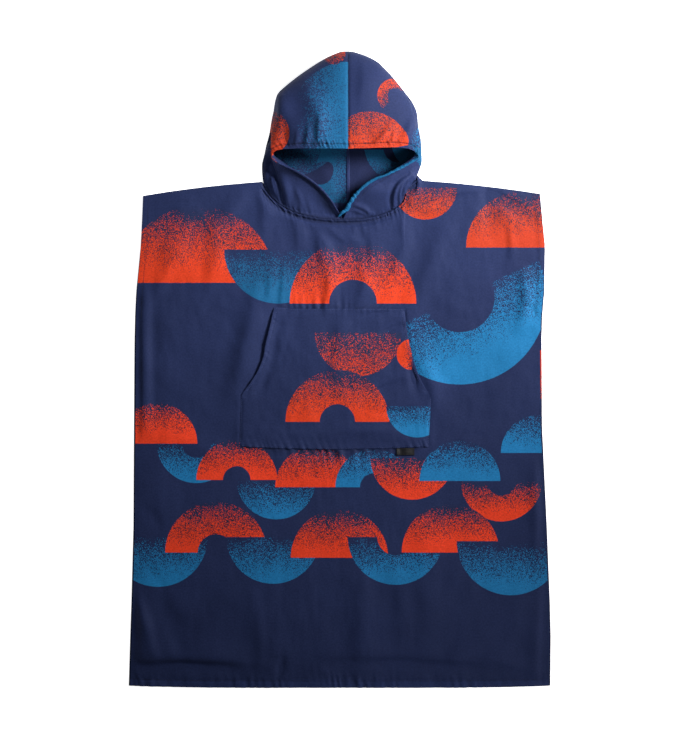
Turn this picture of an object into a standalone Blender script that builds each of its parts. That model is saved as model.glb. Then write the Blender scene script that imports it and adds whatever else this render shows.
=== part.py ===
"""Hooded bath poncho of thin microfibre towelling, laid out flat on its back.

A wide front panel lies on a wide back panel. A hood of two halves, joined by one seam
over the crown, is sewn into the neckline and lies open above it. A hand pocket is sewn
to the front panel, and a plain tab hangs from the pocket's lower edge.

Units are metres. The origin is on the resting surface, under the middle of the garment.
Seen from above with the hood at the top, +X points to the right and +Y from the hem to
the hood. +Z points away from the surface. Left and right are meant in the same view.
"""

import bpy
import numpy as np

# Driving dimensions
CLOTH = 0.0012  # wall of every cut piece
GAP = 0.0003  # between pieces that a seam joins
HEM_RAISE = 0.0007  # a turned hem stands this much prouder than one layer
HEM_DEPTH = 0.0165  # lower hem
ARM_HEM = 0.012  # turned edge of an armhole
HOOD_HEM = 0.011  # turned edge of the face opening
HEM_STEP = 0.0015  # the raise is made over this width
UNDERARM_Y = 0.100  # the armholes end and the side seams start here
PUFF = 0.0024  # how far the front panel floats over the back panel
SIDE_RISE = 0.025  # the front panel rises from its side seams over about this width
HEM_CLIMB = 0.060  # and from the hem over about this height
FOLD_FADE = 0.022  # the folds fade out towards the side seams over about this width
TOP_FADE = 0.030  # and towards the shoulders and the neckline over this height
SHOULDER_DROP = 5  # how fast the upper edge sinks from the neck along the shoulder
NECK_FADE = 0.050  # the panel sinks from the neckline's height over about this height
BACK_SHOWS = 0.003  # the back panel reaches this much further than the front at the sides
NECK_CENTRE_TOP = 0.0075  # top of the front panel at the middle of the neckline
NECK_CORNER_TOP = 0.0037  # and where the neckline meets the shoulder
POCKET_LIFT = 0.0020  # slack of the pocket over the front panel
MOUTH_LIFT = 0.0032  # how far the pocket's slanting mouths stand open
MOUTH_REACH = 0.16  # share of the pocket's width over which a mouth's lift fades
TAB_WIDTH = 0.034
TAB_LENGTH = 0.0133
SIDE_BAND = 0.23  # width from a side edge to a guide line, near enough to place the columns

# Side edges of the front panel.
SIDES = (
    # name, y, left x, right x
    ("hem edge", -0.609, -0.4035, 0.4035),
    ("low thigh", -0.515, -0.4008, 0.4045),
    ("thigh", -0.450, -0.3985, 0.4030),
    ("hip", -0.300, -0.3945, 0.3970),
    ("waist", -0.110, -0.3935, 0.3880),
    ("rib", 0.060, -0.3925, 0.3870),
    ("underarm", 0.105, -0.3920, 0.3890),
    ("armhole low", 0.150, -0.3905, 0.3935),
    ("armhole middle", 0.240, -0.3830, 0.3960),
    ("shoulder tip", 0.338, -0.3790, 0.3870),
)

# Two lines that run down the front panel: from the neckline's corners, along the
# pocket's sides with their slanting mouths, and on to the hem.
GUIDES = (
    # name, y, left x, right x
    ("hem edge", -0.613, -0.2000, 0.2000),
    ("thigh", -0.300, -0.1960, 0.1820),
    ("tab foot", -0.168, -0.1927, 0.1722),
    ("pocket foot", -0.148, -0.1922, 0.1714),
    ("pocket side", -0.100, -0.1910, 0.1742),
    ("mouth foot", -0.054, -0.1897, 0.1768),
    ("mouth corner", -0.047, -0.1885, 0.1732),
    ("mouth curve", -0.025, -0.1720, 0.1600),
    ("mouth bend", -0.002, -0.1570, 0.1492),
    ("mouth middle", 0.023, -0.1465, 0.1420),
    ("mouth upper", 0.050, -0.1420, 0.1345),
    ("mouth top", 0.085, -0.1332, 0.1288),
    ("pocket top", 0.118, -0.1272, 0.1254),
    ("chest", 0.240, -0.1360, 0.1360),
    ("neck corner", 0.364, -0.1496, 0.1496),
)
POCKET_TOP_Y = 0.118
POCKET_FOOT_Y = -0.148
TAB_FOOT_Y = -0.168  # a row of the front panel's points just below the tab
TAB_LEFT_X = 0.1105
HEM_CENTRE_Y = -0.613
HEM_CORNER_Y = -0.609

# Neckline: each half of each panel is a quadratic curve from its corner to the middle.
NECK_CORNER = {"left": (-0.1496, 0.3628), "right": (0.1496, 0.3660)}
NECK_FRONT = {"left": (-0.1226, 0.2914), "right": (0.1322, 0.2885)}  # control points
NECK_BACK = {"left": (-0.0950, 0.3190), "right": (0.1150, 0.3210)}
NECK_FRONT_MIDDLE = (0.0068, 0.2905)
NECK_BACK_MIDDLE = (0.0166, 0.3223)
SHOULDER_TIP = {"left": (-0.3790, 0.3358), "right": (0.3870, 0.3397)}
SHOULDER_BOW = 0.0030  # rise of the shoulder seam over a straight line

# Soft folds of the front panel, as ridges along a straight line.
FOLDS = (
    # name, x and y of one end, x and y of the other, half width, height
    ("left side ridge", -0.370, 0.165, -0.374, -0.150, 0.017, 0.0034),
    ("left pocket ridge", -0.160, 0.130, -0.182, -0.030, 0.022, 0.0042),
    ("left chest drape", -0.066, 0.268, -0.082, 0.190, 0.014, 0.0022),
    ("middle drape", -0.007, 0.262, -0.004, 0.175, 0.017, 0.0020),
    ("right neck drape", 0.060, 0.280, 0.050, 0.155, 0.016, 0.0026),
    ("right chest drape", 0.146, 0.275, 0.158, 0.130, 0.021, 0.0030),
    ("right shoulder fold", 0.180, 0.318, 0.292, 0.345, 0.014, 0.0030),
    ("right armhole fold", 0.352, 0.300, 0.300, 0.180, 0.018, 0.0036),
    ("left shoulder fold", -0.190, 0.322, -0.325, 0.250, 0.019, 0.0030),
    ("right side ridge", 0.372, 0.050, 0.366, -0.180, 0.016, 0.0026),
    ("lower left ridge", -0.366, -0.430, -0.350, -0.575, 0.020, 0.0034),
    ("lower left drape", -0.110, -0.360, -0.130, -0.560, 0.030, 0.0014),
    ("lower middle drape", 0.060, -0.330, 0.080, -0.570, 0.036, 0.0016),
    ("lower right drape", 0.225, -0.320, 0.250, -0.560, 0.034, 0.0013),
    ("lower right ridge", 0.378, -0.350, 0.386, -0.570, 0.015, 0.0030),
)

# The hood, as rows from the neckline (t = 0) to the seam over the crown (t = 1). A row
# starts at the face opening's edge, turns round the hood's side at the fold, and ends on
# the seam at the back, which lies on the surface.
HOOD_LEFT = (
    # t, edge x, y, z, fold x, y, z, back y
    (0.00, 0.0068, 0.2905, 0.0075, -0.1478, 0.3645, 0.0018, 0.3223),
    (0.16, -0.0170, 0.3310, 0.0210, -0.1491, 0.3813, 0.0070, 0.3470),
    (0.33, -0.0480, 0.3580, 0.0310, -0.1488, 0.3967, 0.0130, 0.3740),
    (0.48, -0.0869, 0.3831, 0.0390, -0.1455, 0.4096, 0.0175, 0.3957),
    (0.58, -0.1192, 0.3991, 0.0450, -0.1430, 0.4195, 0.0200, 0.4110),
    (0.64, -0.1292, 0.4085, 0.0490, -0.1406, 0.4308, 0.0215, 0.4246),
    (0.70, -0.1200, 0.4180, 0.0545, -0.1348, 0.4524, 0.0225, 0.4380),
    (0.78, -0.0852, 0.4204, 0.0630, -0.1279, 0.4907, 0.0225, 0.4555),
    (0.86, -0.0513, 0.4200, 0.0700, -0.1130, 0.5340, 0.0205, 0.4748),
    (0.93, -0.0177, 0.4197, 0.0740, -0.0665, 0.5740, 0.0175, 0.4960),
    (0.97, 0.0019, 0.4195, 0.0752, -0.0312, 0.5960, 0.0160, 0.5105),
    (1.00, 0.0166, 0.4193, 0.0760, 0.0166, 0.6130, 0.0150, 0.5210),
)
HOOD_RIGHT = (
    # t, edge x, y, z, fold x, y, z, back y
    (0.00, 0.0068, 0.2905, 0.0075, 0.1478, 0.3677, 0.0018, 0.3223),
    (0.16, 0.0286, 0.3297, 0.0210, 0.1525, 0.3844, 0.0080, 0.3470),
    (0.33, 0.0579, 0.3581, 0.0320, 0.1584, 0.4009, 0.0130, 0.3740),
    (0.48, 0.0994, 0.3800, 0.0400, 0.1578, 0.4152, 0.0175, 0.3957),
    (0.58, 0.1331, 0.3974, 0.0450, 0.1573, 0.4280, 0.0200, 0.4110),
    (0.64, 0.1500, 0.4088, 0.0490, 0.1558, 0.4450, 0.0215, 0.4246),
    (0.70, 0.1400, 0.4186, 0.0545, 0.1517, 0.4659, 0.0225, 0.4380),
    (0.78, 0.1133, 0.4225, 0.0630, 0.1471, 0.4984, 0.0225, 0.4555),
    (0.86, 0.0812, 0.4218, 0.0700, 0.1300, 0.5275, 0.0205, 0.4748),
    (0.93, 0.0475, 0.4205, 0.0740, 0.0900, 0.5745, 0.0175, 0.4960),
    (0.97, 0.0307, 0.4199, 0.0752, 0.0644, 0.5960, 0.0160, 0.5105),
    (1.00, 0.0166, 0.4193, 0.0760, 0.0166, 0.6130, 0.0150, 0.5210),
)
HOOD_ROWS = 24  # steps from the neckline to the crown seam
HOOD_FRONT_STEPS = 8  # from the side fold to the face opening
HOOD_TURN_STEPS = 3  # from the side fold down to the surface
HOOD_BACK_STEPS = 5  # from there to the back seam
FLAP_STRAIGHT_T = 0.45  # rows above this run straight, and below it bend with the neckline
CRISP_T = 0.30  # below this a row turns sharply at the side fold
TURN_SHARE = 0.9  # width of the turn under the side, as a share of the fold's height

NAVY = (0.030, 0.040, 0.110)
DEEP_BLUE = (0.020, 0.130, 0.300)
ORANGE = (0.700, 0.060, 0.030)
BLACK = (0.010, 0.010, 0.012)


def smooth(x):
    """0 below 0, 1 above 1, and an S-curve between."""
    x = np.clip(x, 0.0, 1.0)
    return x * x * (3.0 - 2.0 * x)


def curve_through(knots, values, at):
    """A smooth curve through the knots: cubic pieces that take their slopes from the neighbours."""
    slopes = np.gradient(values, knots)
    i = np.clip(np.searchsorted(knots, at, side="right") - 1, 0, len(knots) - 2)
    step = knots[i + 1] - knots[i]
    u = (at - knots[i]) / step
    start = values[i] * (1 + 2 * u) * (1 - u) ** 2 + values[i + 1] * u * u * (3 - 2 * u)
    return start + step * u * (1 - u) * (slopes[i] * (1 - u) - slopes[i + 1] * u)


def table_at(table, y, column):
    """A table's column at the heights y, in straight pieces between its rows."""
    return np.interp(y, [row[1] for row in table], [row[column] for row in table])


def bezier(start, control, end, u):
    """Points of a quadratic curve, as an array of x and y."""
    u = np.asarray(u, float)[..., None]
    start, control, end = (np.asarray(p, float) for p in (start, control, end))
    return start * (1 - u) ** 2 + control * 2 * u * (1 - u) + end * u * u


def neckline(side, controls, middle, u):
    """A half neckline, from its corner (u = 0) to the middle (u = 1)."""
    return bezier(NECK_CORNER[side], controls[side], middle, u)


def neck_top(u):
    """Height of the front panel's upper face along a half neckline."""
    return NECK_CENTRE_TOP + (NECK_CORNER_TOP - NECK_CENTRE_TOP) * (1 - u) ** 2


def top_edge(c, controls, middle):
    """Upper edge of a body panel over the columns c: shoulder, half neckline, half neckline, shoulder.

    c runs from 0 at the left side to 3 at the right, with the neckline's corners at 1 and 2.
    """
    edge = np.empty(c.shape + (2,))
    for side, corner_c, tip_c, inward in (("left", 1.0, 0.0, 1.0), ("right", 2.0, 3.0, -1.0)):
        on_shoulder = (c - corner_c) * inward <= 0
        u = np.clip((corner_c - c) / (corner_c - tip_c), 0, 1)
        corner, tip = np.array(NECK_CORNER[side]), np.array(SHOULDER_TIP[side])
        straight = corner + (tip - corner) * u[..., None]
        straight[..., 1] += SHOULDER_BOW * 4 * u * (1 - u)
        edge[on_shoulder] = straight[on_shoulder]
        on_neck = ((c - corner_c) * inward > 0) & ((c - 1.5) * inward <= 0)
        u = np.clip((c - corner_c) * inward / 0.5, 0, 1)
        edge[on_neck] = neckline(side, controls, middle, u)[on_neck]
    return edge


def side_columns(steps):
    """Column places of a side band: the turned edge, its step, then even columns."""
    first = [0.0, (ARM_HEM - HEM_STEP) / SIDE_BAND, ARM_HEM / SIDE_BAND]
    return np.concatenate([first, np.linspace(first[-1], 1.0, steps + 1)[1:]])


def panel_plan(columns, rows_y, top_rows, controls, middle, side_reach):
    """Plan x and y of a body panel's grid, its columns' places c, and the panel's upper edge.

    Above the pocket's top the rows part evenly from the upper edge; below it they are
    level, and drop a little towards the middle at the hem.
    """
    edge = top_edge(columns, controls, middle)
    level = np.asarray(rows_y)
    sag = (HEM_CENTRE_Y - HEM_CORNER_Y) * smooth((POCKET_FOOT_Y - level) / (POCKET_FOOT_Y - HEM_CENTRE_Y))
    bow = 1 - ((columns - 1.5) / 1.5) ** 4
    lower = level[:, None] + sag[:, None] * (bow - 1)[None, :]
    share = np.linspace(0, 1, top_rows + 1)[:-1, None]
    upper = edge[None, :, 1] * (1 - share) + level[0] * share
    y = np.concatenate([upper, lower])
    left = table_at(SIDES, y, 2) - side_reach
    right = table_at(SIDES, y, 3) + side_reach
    guide_left, guide_right = table_at(GUIDES, y, 2), table_at(GUIDES, y, 3)
    c = np.broadcast_to(columns, y.shape)
    left_band = left + (guide_left - left) * c
    middle_band = guide_left + (guide_right - guide_left) * (c - 1)
    right_band = guide_right + (right - guide_right) * (c - 2)
    x = np.where(c < 1, left_band, np.where(c > 2, right_band, middle_band))
    fade = np.concatenate([1 - share[:, 0], np.zeros(len(level))])[:, None]
    x = x + (edge[None, :, 0] - x[:1]) * fade**2
    return x, y, c, edge


def fold_relief(x, y):
    """Height that the soft folds add: each is a bell-shaped ridge about its line."""
    total = np.zeros_like(x)
    for _name, x0, y0, x1, y1, half_width, height in FOLDS:
        along = np.array([x1 - x0, y1 - y0])
        u = np.clip(((x - x0) * along[0] + (y - y0) * along[1]) / (along @ along), 0, 1)
        away = np.hypot(x - x0 - u * along[0], y - y0 - u * along[1])
        total += height * np.exp(-((away / half_width) ** 2))
    return total


def front_underside(x, y, c, edge):
    """Height of the front panel's lower face: on the back panel at its seams, a little afloat inside."""
    low = CLOTH + GAP
    from_side = np.minimum(x - table_at(SIDES, y, 2), table_at(SIDES, y, 3) - x)
    from_top = np.maximum(edge[None, :, 1] - y, 0)
    from_hem = y - HEM_CENTRE_Y
    afloat = PUFF * (1 - np.exp(-from_side / SIDE_RISE)) * (1 - 0.6 * np.exp(-from_hem / HEM_CLIMB))
    relief = fold_relief(x, y) * (1 - np.exp(-((from_side / FOLD_FADE) ** 2)))
    # The upper edge lies low along the shoulders and rises over the neck.
    u = np.where(c < 1.5, (c - 1) / 0.5, (2 - c) / 0.5)
    on_neck = neck_top(np.clip(u, 0, 1)) - CLOTH
    on_shoulder = low + (NECK_CORNER_TOP - CLOTH - low) * np.exp(np.minimum(u, 0) * SHOULDER_DROP)
    rim = np.where(u >= 0, on_neck, on_shoulder)
    free = (afloat + relief) * (1 - np.exp(-from_top / TOP_FADE))
    return low + free + (rim - low) * np.exp(-from_top / NECK_FADE)


def material(name, colour, roughness):
    """A plain cloth finish."""
    made = bpy.data.materials.new(name)
    made.use_nodes = True
    shader = made.node_tree.nodes["Principled BSDF"]
    shader.inputs["Base Color"].default_value = (*colour, 1.0)
    shader.inputs["Roughness"].default_value = roughness
    shader.inputs["Metallic"].default_value = 0.0
    return made


def wall(name, upper, lower, finish):
    """One closed cloth wall between two grids of points, upper and lower, with rims on its four edges."""
    facing = np.cross(upper[1:, :-1] - upper[:-1, :-1], upper[:-1, 1:] - upper[:-1, :-1])
    if np.sum(facing * (upper - lower)[:-1, :-1]) < 0:
        upper, lower = upper[:, ::-1], lower[:, ::-1]
    rows, columns = upper.shape[:2]
    points = np.concatenate([upper.reshape(-1, 3), lower.reshape(-1, 3)])
    index = np.arange(rows * columns).reshape(rows, columns)
    under = index + rows * columns
    quads = []
    for grid, turned in ((index, False), (under, True)):
        corners = [grid[:-1, :-1], grid[1:, :-1], grid[1:, 1:], grid[:-1, 1:]]
        quad = np.stack(corners, axis=-1).reshape(-1, 4)
        quads.append(quad[:, ::-1] if turned else quad)
    rim = np.concatenate([index[0, :], index[1:, -1], index[-1, -2::-1], index[-2:0:-1, 0]])
    ahead = np.roll(rim, -1)
    quads.append(np.stack([rim, ahead, ahead + rows * columns, rim + rows * columns], axis=-1))
    mesh = bpy.data.meshes.new(name)
    mesh.from_pydata(points.tolist(), [], np.concatenate(quads).tolist())
    mesh.validate()
    body = bpy.data.objects.new(name, mesh)
    bpy.context.scene.collection.objects.link(body)
    mesh.materials.append(finish)
    mesh.shade_smooth()
    mesh.set_sharp_from_angle(angle=np.radians(50))
    return body


def grid_points(x, y, z):
    """Three grids of numbers as one grid of points."""
    return np.stack([x, y, z], axis=-1)


def make_front_panel():
    """The front panel, and its upper face for what is sewn on it."""
    side = side_columns(7)
    middle = np.linspace(1, 2, 2 * HOOD_FRONT_STEPS + 1)
    columns = np.concatenate([side, middle[1:], (3 - side)[::-1][1:]])
    pocket_rows = [row[1] for row in GUIDES if POCKET_FOOT_Y <= row[1] <= POCKET_TOP_Y][::-1]
    hem_top = HEM_CENTRE_Y + HEM_DEPTH
    lower_rows = [*np.linspace(TAB_FOOT_Y, hem_top + HEM_STEP, 13), hem_top, HEM_CENTRE_Y]
    top_rows = 9
    rows_y = [*pocket_rows, *lower_rows]
    x, y, c, edge = panel_plan(columns, rows_y, top_rows, NECK_FRONT, NECK_FRONT_MIDDLE, 0.0)
    under = front_underside(x, y, c, edge)
    from_side = np.minimum(x - table_at(SIDES, y, 2), table_at(SIDES, y, 3) - x)
    on_arm_hem = (from_side < ARM_HEM - HEM_STEP / 2) & (y > UNDERARM_Y)
    on_low_hem = np.zeros_like(on_arm_hem)
    on_low_hem[-2:] = True
    thickness = CLOTH + HEM_RAISE * (on_arm_hem | on_low_hem)
    upper = grid_points(x, y, under + thickness)
    wall("front_panel", upper, grid_points(x, y, under), material("front cloth", NAVY, 0.75))
    return upper, columns, top_rows, len(pocket_rows)


def make_back_panel():
    """The back panel, flat on the surface and a little wider than the front at its sides."""
    middle = np.linspace(1, 2, 2 * HOOD_BACK_STEPS + 1)
    columns = np.concatenate([np.linspace(0, 1, 5), middle[1:], np.linspace(2, 3, 5)[1:]])
    rows_y = [POCKET_TOP_Y, *np.linspace(POCKET_TOP_Y, HEM_CENTRE_Y, 9)[1:]]
    x, y, _c, _edge = panel_plan(columns, rows_y, 4, NECK_BACK, NECK_BACK_MIDDLE, BACK_SHOWS)
    flat = np.zeros_like(x)
    upper, lower = grid_points(x, y, flat + CLOTH), grid_points(x, y, flat)
    wall("back_panel", upper, lower, material("back cloth", NAVY, 0.75))


def make_pocket(front, columns, top_rows, pocket_rows):
    """The hand pocket: the front panel's own points between the guides, moved out."""
    rows = slice(top_rows, top_rows + pocket_rows)
    within = (columns > 1 - 1e-6) & (columns < 2 + 1e-6)
    base = front[rows][:, within]
    y = base[:, :1, 1]
    down = (POCKET_TOP_Y - y) / (POCKET_TOP_Y - POCKET_FOOT_Y)
    across = np.linspace(0, 1, base.shape[1])[None, :]
    slack = POCKET_LIFT * np.sin(np.pi * down) * np.sin(np.pi * across) ** 0.5
    mouth_foot = table_row(GUIDES, "mouth foot")[1]
    down_mouth = np.clip((POCKET_TOP_Y - y) / (POCKET_TOP_Y - mouth_foot), 0, 1)
    from_mouth = np.minimum(across, 1 - across)
    gape = MOUTH_LIFT * np.sin(np.pi * down_mouth) * np.exp(-((from_mouth / MOUTH_REACH) ** 2))
    lifted = base + np.stack([0 * slack, 0 * slack, GAP + np.maximum(slack, gape)], axis=-1)
    wall("hand_pocket", lifted + np.array([0, 0, CLOTH]), lifted, material("pocket cloth", DEEP_BLUE, 0.75))


def table_row(table, name):
    """A table's row of that name."""
    return next(row for row in table if row[0] == name)


def make_tab(front, columns, top_rows, pocket_rows):
    """The plain tab under the pocket's lower edge, from the front panel's points between two rows."""
    foot = top_rows + pocket_rows - 1
    x = np.linspace(TAB_LEFT_X, TAB_LEFT_X + TAB_WIDTH, 4)
    rows = []
    for y in (POCKET_FOOT_Y - GAP, POCKET_FOOT_Y - GAP - TAB_LENGTH):
        share = (front[foot, 0, 1] - y) / (front[foot, 0, 1] - front[foot + 1, 0, 1])
        line = front[foot] * (1 - share) + front[foot + 1] * share
        rows.append(grid_points(x, np.full_like(x, y), np.interp(x, line[:, 0], line[:, 2]) + 2 * GAP))
    lower = np.array(rows)
    wall("tab", lower + np.array([0, 0, CLOTH]), lower, material("tab weave", BLACK, 0.6))


def hood_outside(side, table):
    """Outer points of a hood half: rows over t, columns from the back seam round to the face opening."""
    table = np.array(table)
    t = np.linspace(0, 1, HOOD_ROWS + 1)
    edge = np.stack([curve_through(table[:, 0], table[:, k], t) for k in (1, 2, 3)], axis=-1)
    fold = np.stack([curve_through(table[:, 0], table[:, k], t) for k in (4, 5, 6)], axis=-1)
    back_y = curve_through(table[:, 0], table[:, 7], t)
    back = np.stack([np.full_like(t, NECK_BACK_MIDDLE[0]), back_y], axis=-1)
    straighten = smooth(t / FLAP_STRAIGHT_T)[:, None]

    # Front: from the side fold to the face opening, on a quarter of an oval. Along the
    # neckline the steps are even, as the panel's are.
    step = np.linspace(0, 1, HOOD_FRONT_STEPS + 1)[None, :]
    crisp = 1 - smooth(t / CRISP_T)[:, None]
    q = step * crisp + (1 - np.cos(step * np.pi / 2)) * (1 - crisp)
    middle = (edge[:, :2] + fold[:, :2]) / 2
    control = np.array(NECK_FRONT[side]) * (1 - straighten) + middle * straighten
    plan = np.stack([bezier(fold[i, :2], control[i], edge[i, :2], q[i]) for i in range(len(t))])
    power = 2.0 + 6.0 * crisp
    profile = (1 - (1 - q) ** power) ** (1 / power)
    top = edge[:, 2:] + (NECK_CORNER_TOP - edge[:, 2:]) * (1 - q) ** 2 * crisp
    z = fold[:, 2:] + (top - fold[:, 2:]) * profile
    front = np.concatenate([plan, z[..., None]], axis=-1)

    # Back: round the side and down to the surface, then flat to the seam.
    reach = np.linalg.norm(back - fold[:, :2], axis=1)
    turn = TURN_SHARE * fold[:, 2] / reach
    angle = np.linspace(0, np.pi / 2, HOOD_TURN_STEPS + 1)[1:]
    turned = turn[:, None] * (1 - np.cos(angle))
    flat = turn[:, None] + (1 - turn[:, None]) * np.linspace(0, 1, HOOD_BACK_STEPS + 1)[1:]
    share = np.concatenate([turned, flat], axis=1)
    control = np.array(NECK_BACK[side]) * (1 - straighten) + (back + fold[:, :2]) / 2 * straighten
    plan = np.stack([bezier(fold[i, :2], control[i], back[i], share[i]) for i in range(len(t))])
    z = np.concatenate([fold[:, 2:] * (1 - np.sin(angle)), np.zeros_like(flat)], axis=1)
    behind = np.concatenate([plan, z[..., None]], axis=-1)
    return np.concatenate([behind[:, ::-1], front], axis=1)


def hood_normals(outside, sign):
    """Unit directions out of the hood. Along a seam they stay in its plane: pieces meet face to face."""
    down, across = np.gradient(outside, axis=0), np.gradient(outside, axis=1)
    normal = np.cross(across, down) * sign
    normal[-1, :, 0] = 0
    normal[:, 0, 0] = 0
    first = across[0]
    level = np.stack([-first[:, 1], first[:, 0], np.zeros(len(first))], axis=-1)
    upright = np.cross(level, first)
    normal[0] = upright * np.sign(np.sum(upright * normal[0], axis=-1, keepdims=True))
    on_surface = outside[..., 2] < 1e-7
    normal[on_surface] = (0, 0, -1)
    return normal / np.linalg.norm(normal, axis=-1, keepdims=True)


def make_hood_half(side, table, sign, colour):
    """A hood half, with its neckline row GAP inside the panels and its seam rows GAP off the other half."""
    outside = hood_outside(side, table)
    normal = hood_normals(outside, sign)
    first = np.gradient(outside[0], axis=0)[:, :2]
    inward = np.stack([-first[:, 1], first[:, 0]], axis=-1)
    inward /= np.linalg.norm(inward, axis=-1, keepdims=True)
    inward *= np.sign(inward[:, 1:])
    in_front = np.arange(outside.shape[1]) > HOOD_BACK_STEPS + HOOD_TURN_STEPS
    outside[0, :, :2] += inward * np.where(in_front, GAP, 2 * GAP)[:, None]
    outside[-1, :, 0] -= sign * GAP / 2
    outside[:, 0, 0] -= sign * GAP / 2
    outside[0, -1, 0] -= sign * GAP / 2
    from_edge = np.linalg.norm(outside - outside[:, -1:], axis=-1)
    raise_by = HEM_RAISE * smooth((HOOD_HEM - from_edge) / HEM_STEP + 0.5) * in_front
    raise_by[0] = 0
    raised = outside + normal * raise_by[..., None]
    wall("hood_" + side, raised, outside - normal * CLOTH, material(side + " hood cloth", colour, 0.75))


def main():
    """Builds the garment in an empty scene."""
    for thing in list(bpy.data.objects):
        bpy.data.objects.remove(thing)
    front, columns, top_rows, pocket_rows = make_front_panel()
    make_back_panel()
    make_pocket(front, columns, top_rows, pocket_rows)
    make_tab(front, columns, top_rows, pocket_rows)
    make_hood_half("left", HOOD_LEFT, 1.0, DEEP_BLUE)
    make_hood_half("right", HOOD_RIGHT, -1.0, ORANGE)


main()
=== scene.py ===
"""A hooded bath poncho of thin printed microfibre towelling, laid out flat on its back.

The sections follow the garment as it is laid down: the back panel, the front panel on it,
the hood sewn into the neckline, the hand pocket and its tab. Left and right are as seen
from above with the hood at the top. Everything is in metres, in the frame's own axes.
"""

import bmesh
import bpy
import numpy as np
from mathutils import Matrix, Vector


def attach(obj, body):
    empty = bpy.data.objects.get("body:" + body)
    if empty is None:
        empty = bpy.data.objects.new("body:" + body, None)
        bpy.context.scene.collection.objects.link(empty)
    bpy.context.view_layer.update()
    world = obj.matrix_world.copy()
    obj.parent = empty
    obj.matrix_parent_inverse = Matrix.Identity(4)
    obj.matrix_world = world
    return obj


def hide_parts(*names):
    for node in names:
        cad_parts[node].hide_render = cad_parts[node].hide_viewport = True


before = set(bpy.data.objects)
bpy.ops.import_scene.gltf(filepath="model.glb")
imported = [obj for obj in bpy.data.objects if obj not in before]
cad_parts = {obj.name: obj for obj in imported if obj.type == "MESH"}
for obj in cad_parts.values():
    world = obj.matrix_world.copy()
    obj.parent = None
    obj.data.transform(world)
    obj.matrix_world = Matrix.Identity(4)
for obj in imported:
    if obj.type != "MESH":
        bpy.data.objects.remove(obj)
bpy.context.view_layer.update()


# Back panel.
# The lowest layer: one wide piece of microfibre towelling, printed on its face, with a
# shallow neckline. It lies flat on the floor and reaches a little past the front's sides.

CLOTH = 0.0012  # thickness of the towelling
NAVY = (0.0140, 0.0229, 0.0765)  # the dyed ground
# Each ink comes darker, plain and brighter. The brighter ones, on the lower body, are painted light against
# the key light's fall-off there; the darker ones, on the upper body and the hood, are painted shade where
# that light is stronger. The last line's two colours are painted shade for the hood's far sides and its
# inside.
ORANGE_PAINTED_DARK, ORANGE, ORANGE_PAINTED_LIGHT = (0.410, 0.036, 0.0125), (0.590, 0.043, 0.0120), (0.740, 0.048, 0.0160)
BLUE_PAINTED_DARK, BLUE, BLUE_PAINTED_LIGHT = (0.0080, 0.095, 0.220), (0.0125, 0.160, 0.370), (0.0125, 0.165, 0.390)
# Painted shade: navy and blue darkened for the hood's far sides and its inside, where the crown keeps the
# light off.
NAVY_PAINTED_SHADE, BLUE_PAINTED_SHADE = (0.0098, 0.0152, 0.0520), (0.0060, 0.0720, 0.1650)
GRAIN_SIZE, GRAIN_SWAY = 0.0011, 0.0004  # of the sprayed specks, and how far their outlines waver
CHANCE_SHARE, FADE_SHARE = 0.88, 0.20  # of the grain: a speck's own chance, and its fade to its rim
CLUMPING, CLOUDING = 0.035, 0.11  # how the ink varies over millimetres, and over centimetres
RIB_PITCH = 0.0011  # from rib to rib of the weave
RIB_HEIGHT, NAP_HEIGHT, SLACK_HEIGHT = 0.000025, 0.00006, 0.0017  # slack: the cloth's own slow waves

SIDE_EDGES = (
    # name, y, left x, right x
    ("hem edge", -0.609, -0.4035, 0.4035),
    ("low thigh", -0.515, -0.4008, 0.4045),
    ("thigh", -0.450, -0.3985, 0.4030),
    ("hip", -0.300, -0.3945, 0.3970),
    ("waist", -0.110, -0.3935, 0.3880),
    ("rib", 0.060, -0.3925, 0.3870),
    ("underarm", 0.105, -0.3920, 0.3890),
    ("armhole low", 0.150, -0.3905, 0.3935),
    ("armhole middle", 0.240, -0.3830, 0.3960),
    ("shoulder tip", 0.338, -0.3790, 0.3870),
)
NECK_CORNERS = ((-0.1496, 0.3628), (0.1500, 0.3755))
SHOULDER_TIPS = ((-0.3790, 0.3358), (0.3870, 0.3397))
SHOULDER_BOW = 0.0030
CORNER_PEAKS, PEAK_FADE = (0.0, 0.0100), 0.017  # the shoulder's cloth stands up a little beside the hood
DRAWN_IN, DRAWN_IN_Y = 0.0147, 0.352  # how far the neckline's right side is drawn in, and where most
HEM_CORNER_Y, HEM_MIDDLE_Y, HEM_HALF_WIDTH = -0.609, -0.613, 0.4035
BACK_NECK = ((-0.0950, 0.3190), (0.0166, 0.3223), (0.1150, 0.3210), 0.0)  # control, middle, control, drawn in
BACK_SHOWS = 0.0030  # past the front panel's sides
SPREAD_DEPTH = 0.35  # share of a panel's height over which its columns spread out


def eased(x):
    """0 below 0, 1 above 1, and the S-curve 3x^2 - 2x^3 between."""
    x = np.clip(x, 0.0, 1.0)
    return x * x * (3.0 - 2.0 * x)


def bell(off, width, lower_width=None):
    """1 where off is 0, and 1/e at the width: exp(-(off/width)^2). Below 0 it may have its own width."""
    if lower_width is not None:
        width = np.where(off > 0, width, lower_width)
    return np.exp(-((off / width) ** 2))


def side_edge(y, column):
    """The body's side at height y, in straight lines between the table's rows."""
    return np.interp(y, [row[1] for row in SIDE_EDGES], [row[column] for row in SIDE_EDGES])


def hem_edge(share):
    """The body's lower edge at a share of its half width: a fourth-power curve, lowest in the middle."""
    return HEM_MIDDLE_Y + (HEM_CORNER_Y - HEM_MIDDLE_Y) * share**4


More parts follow.
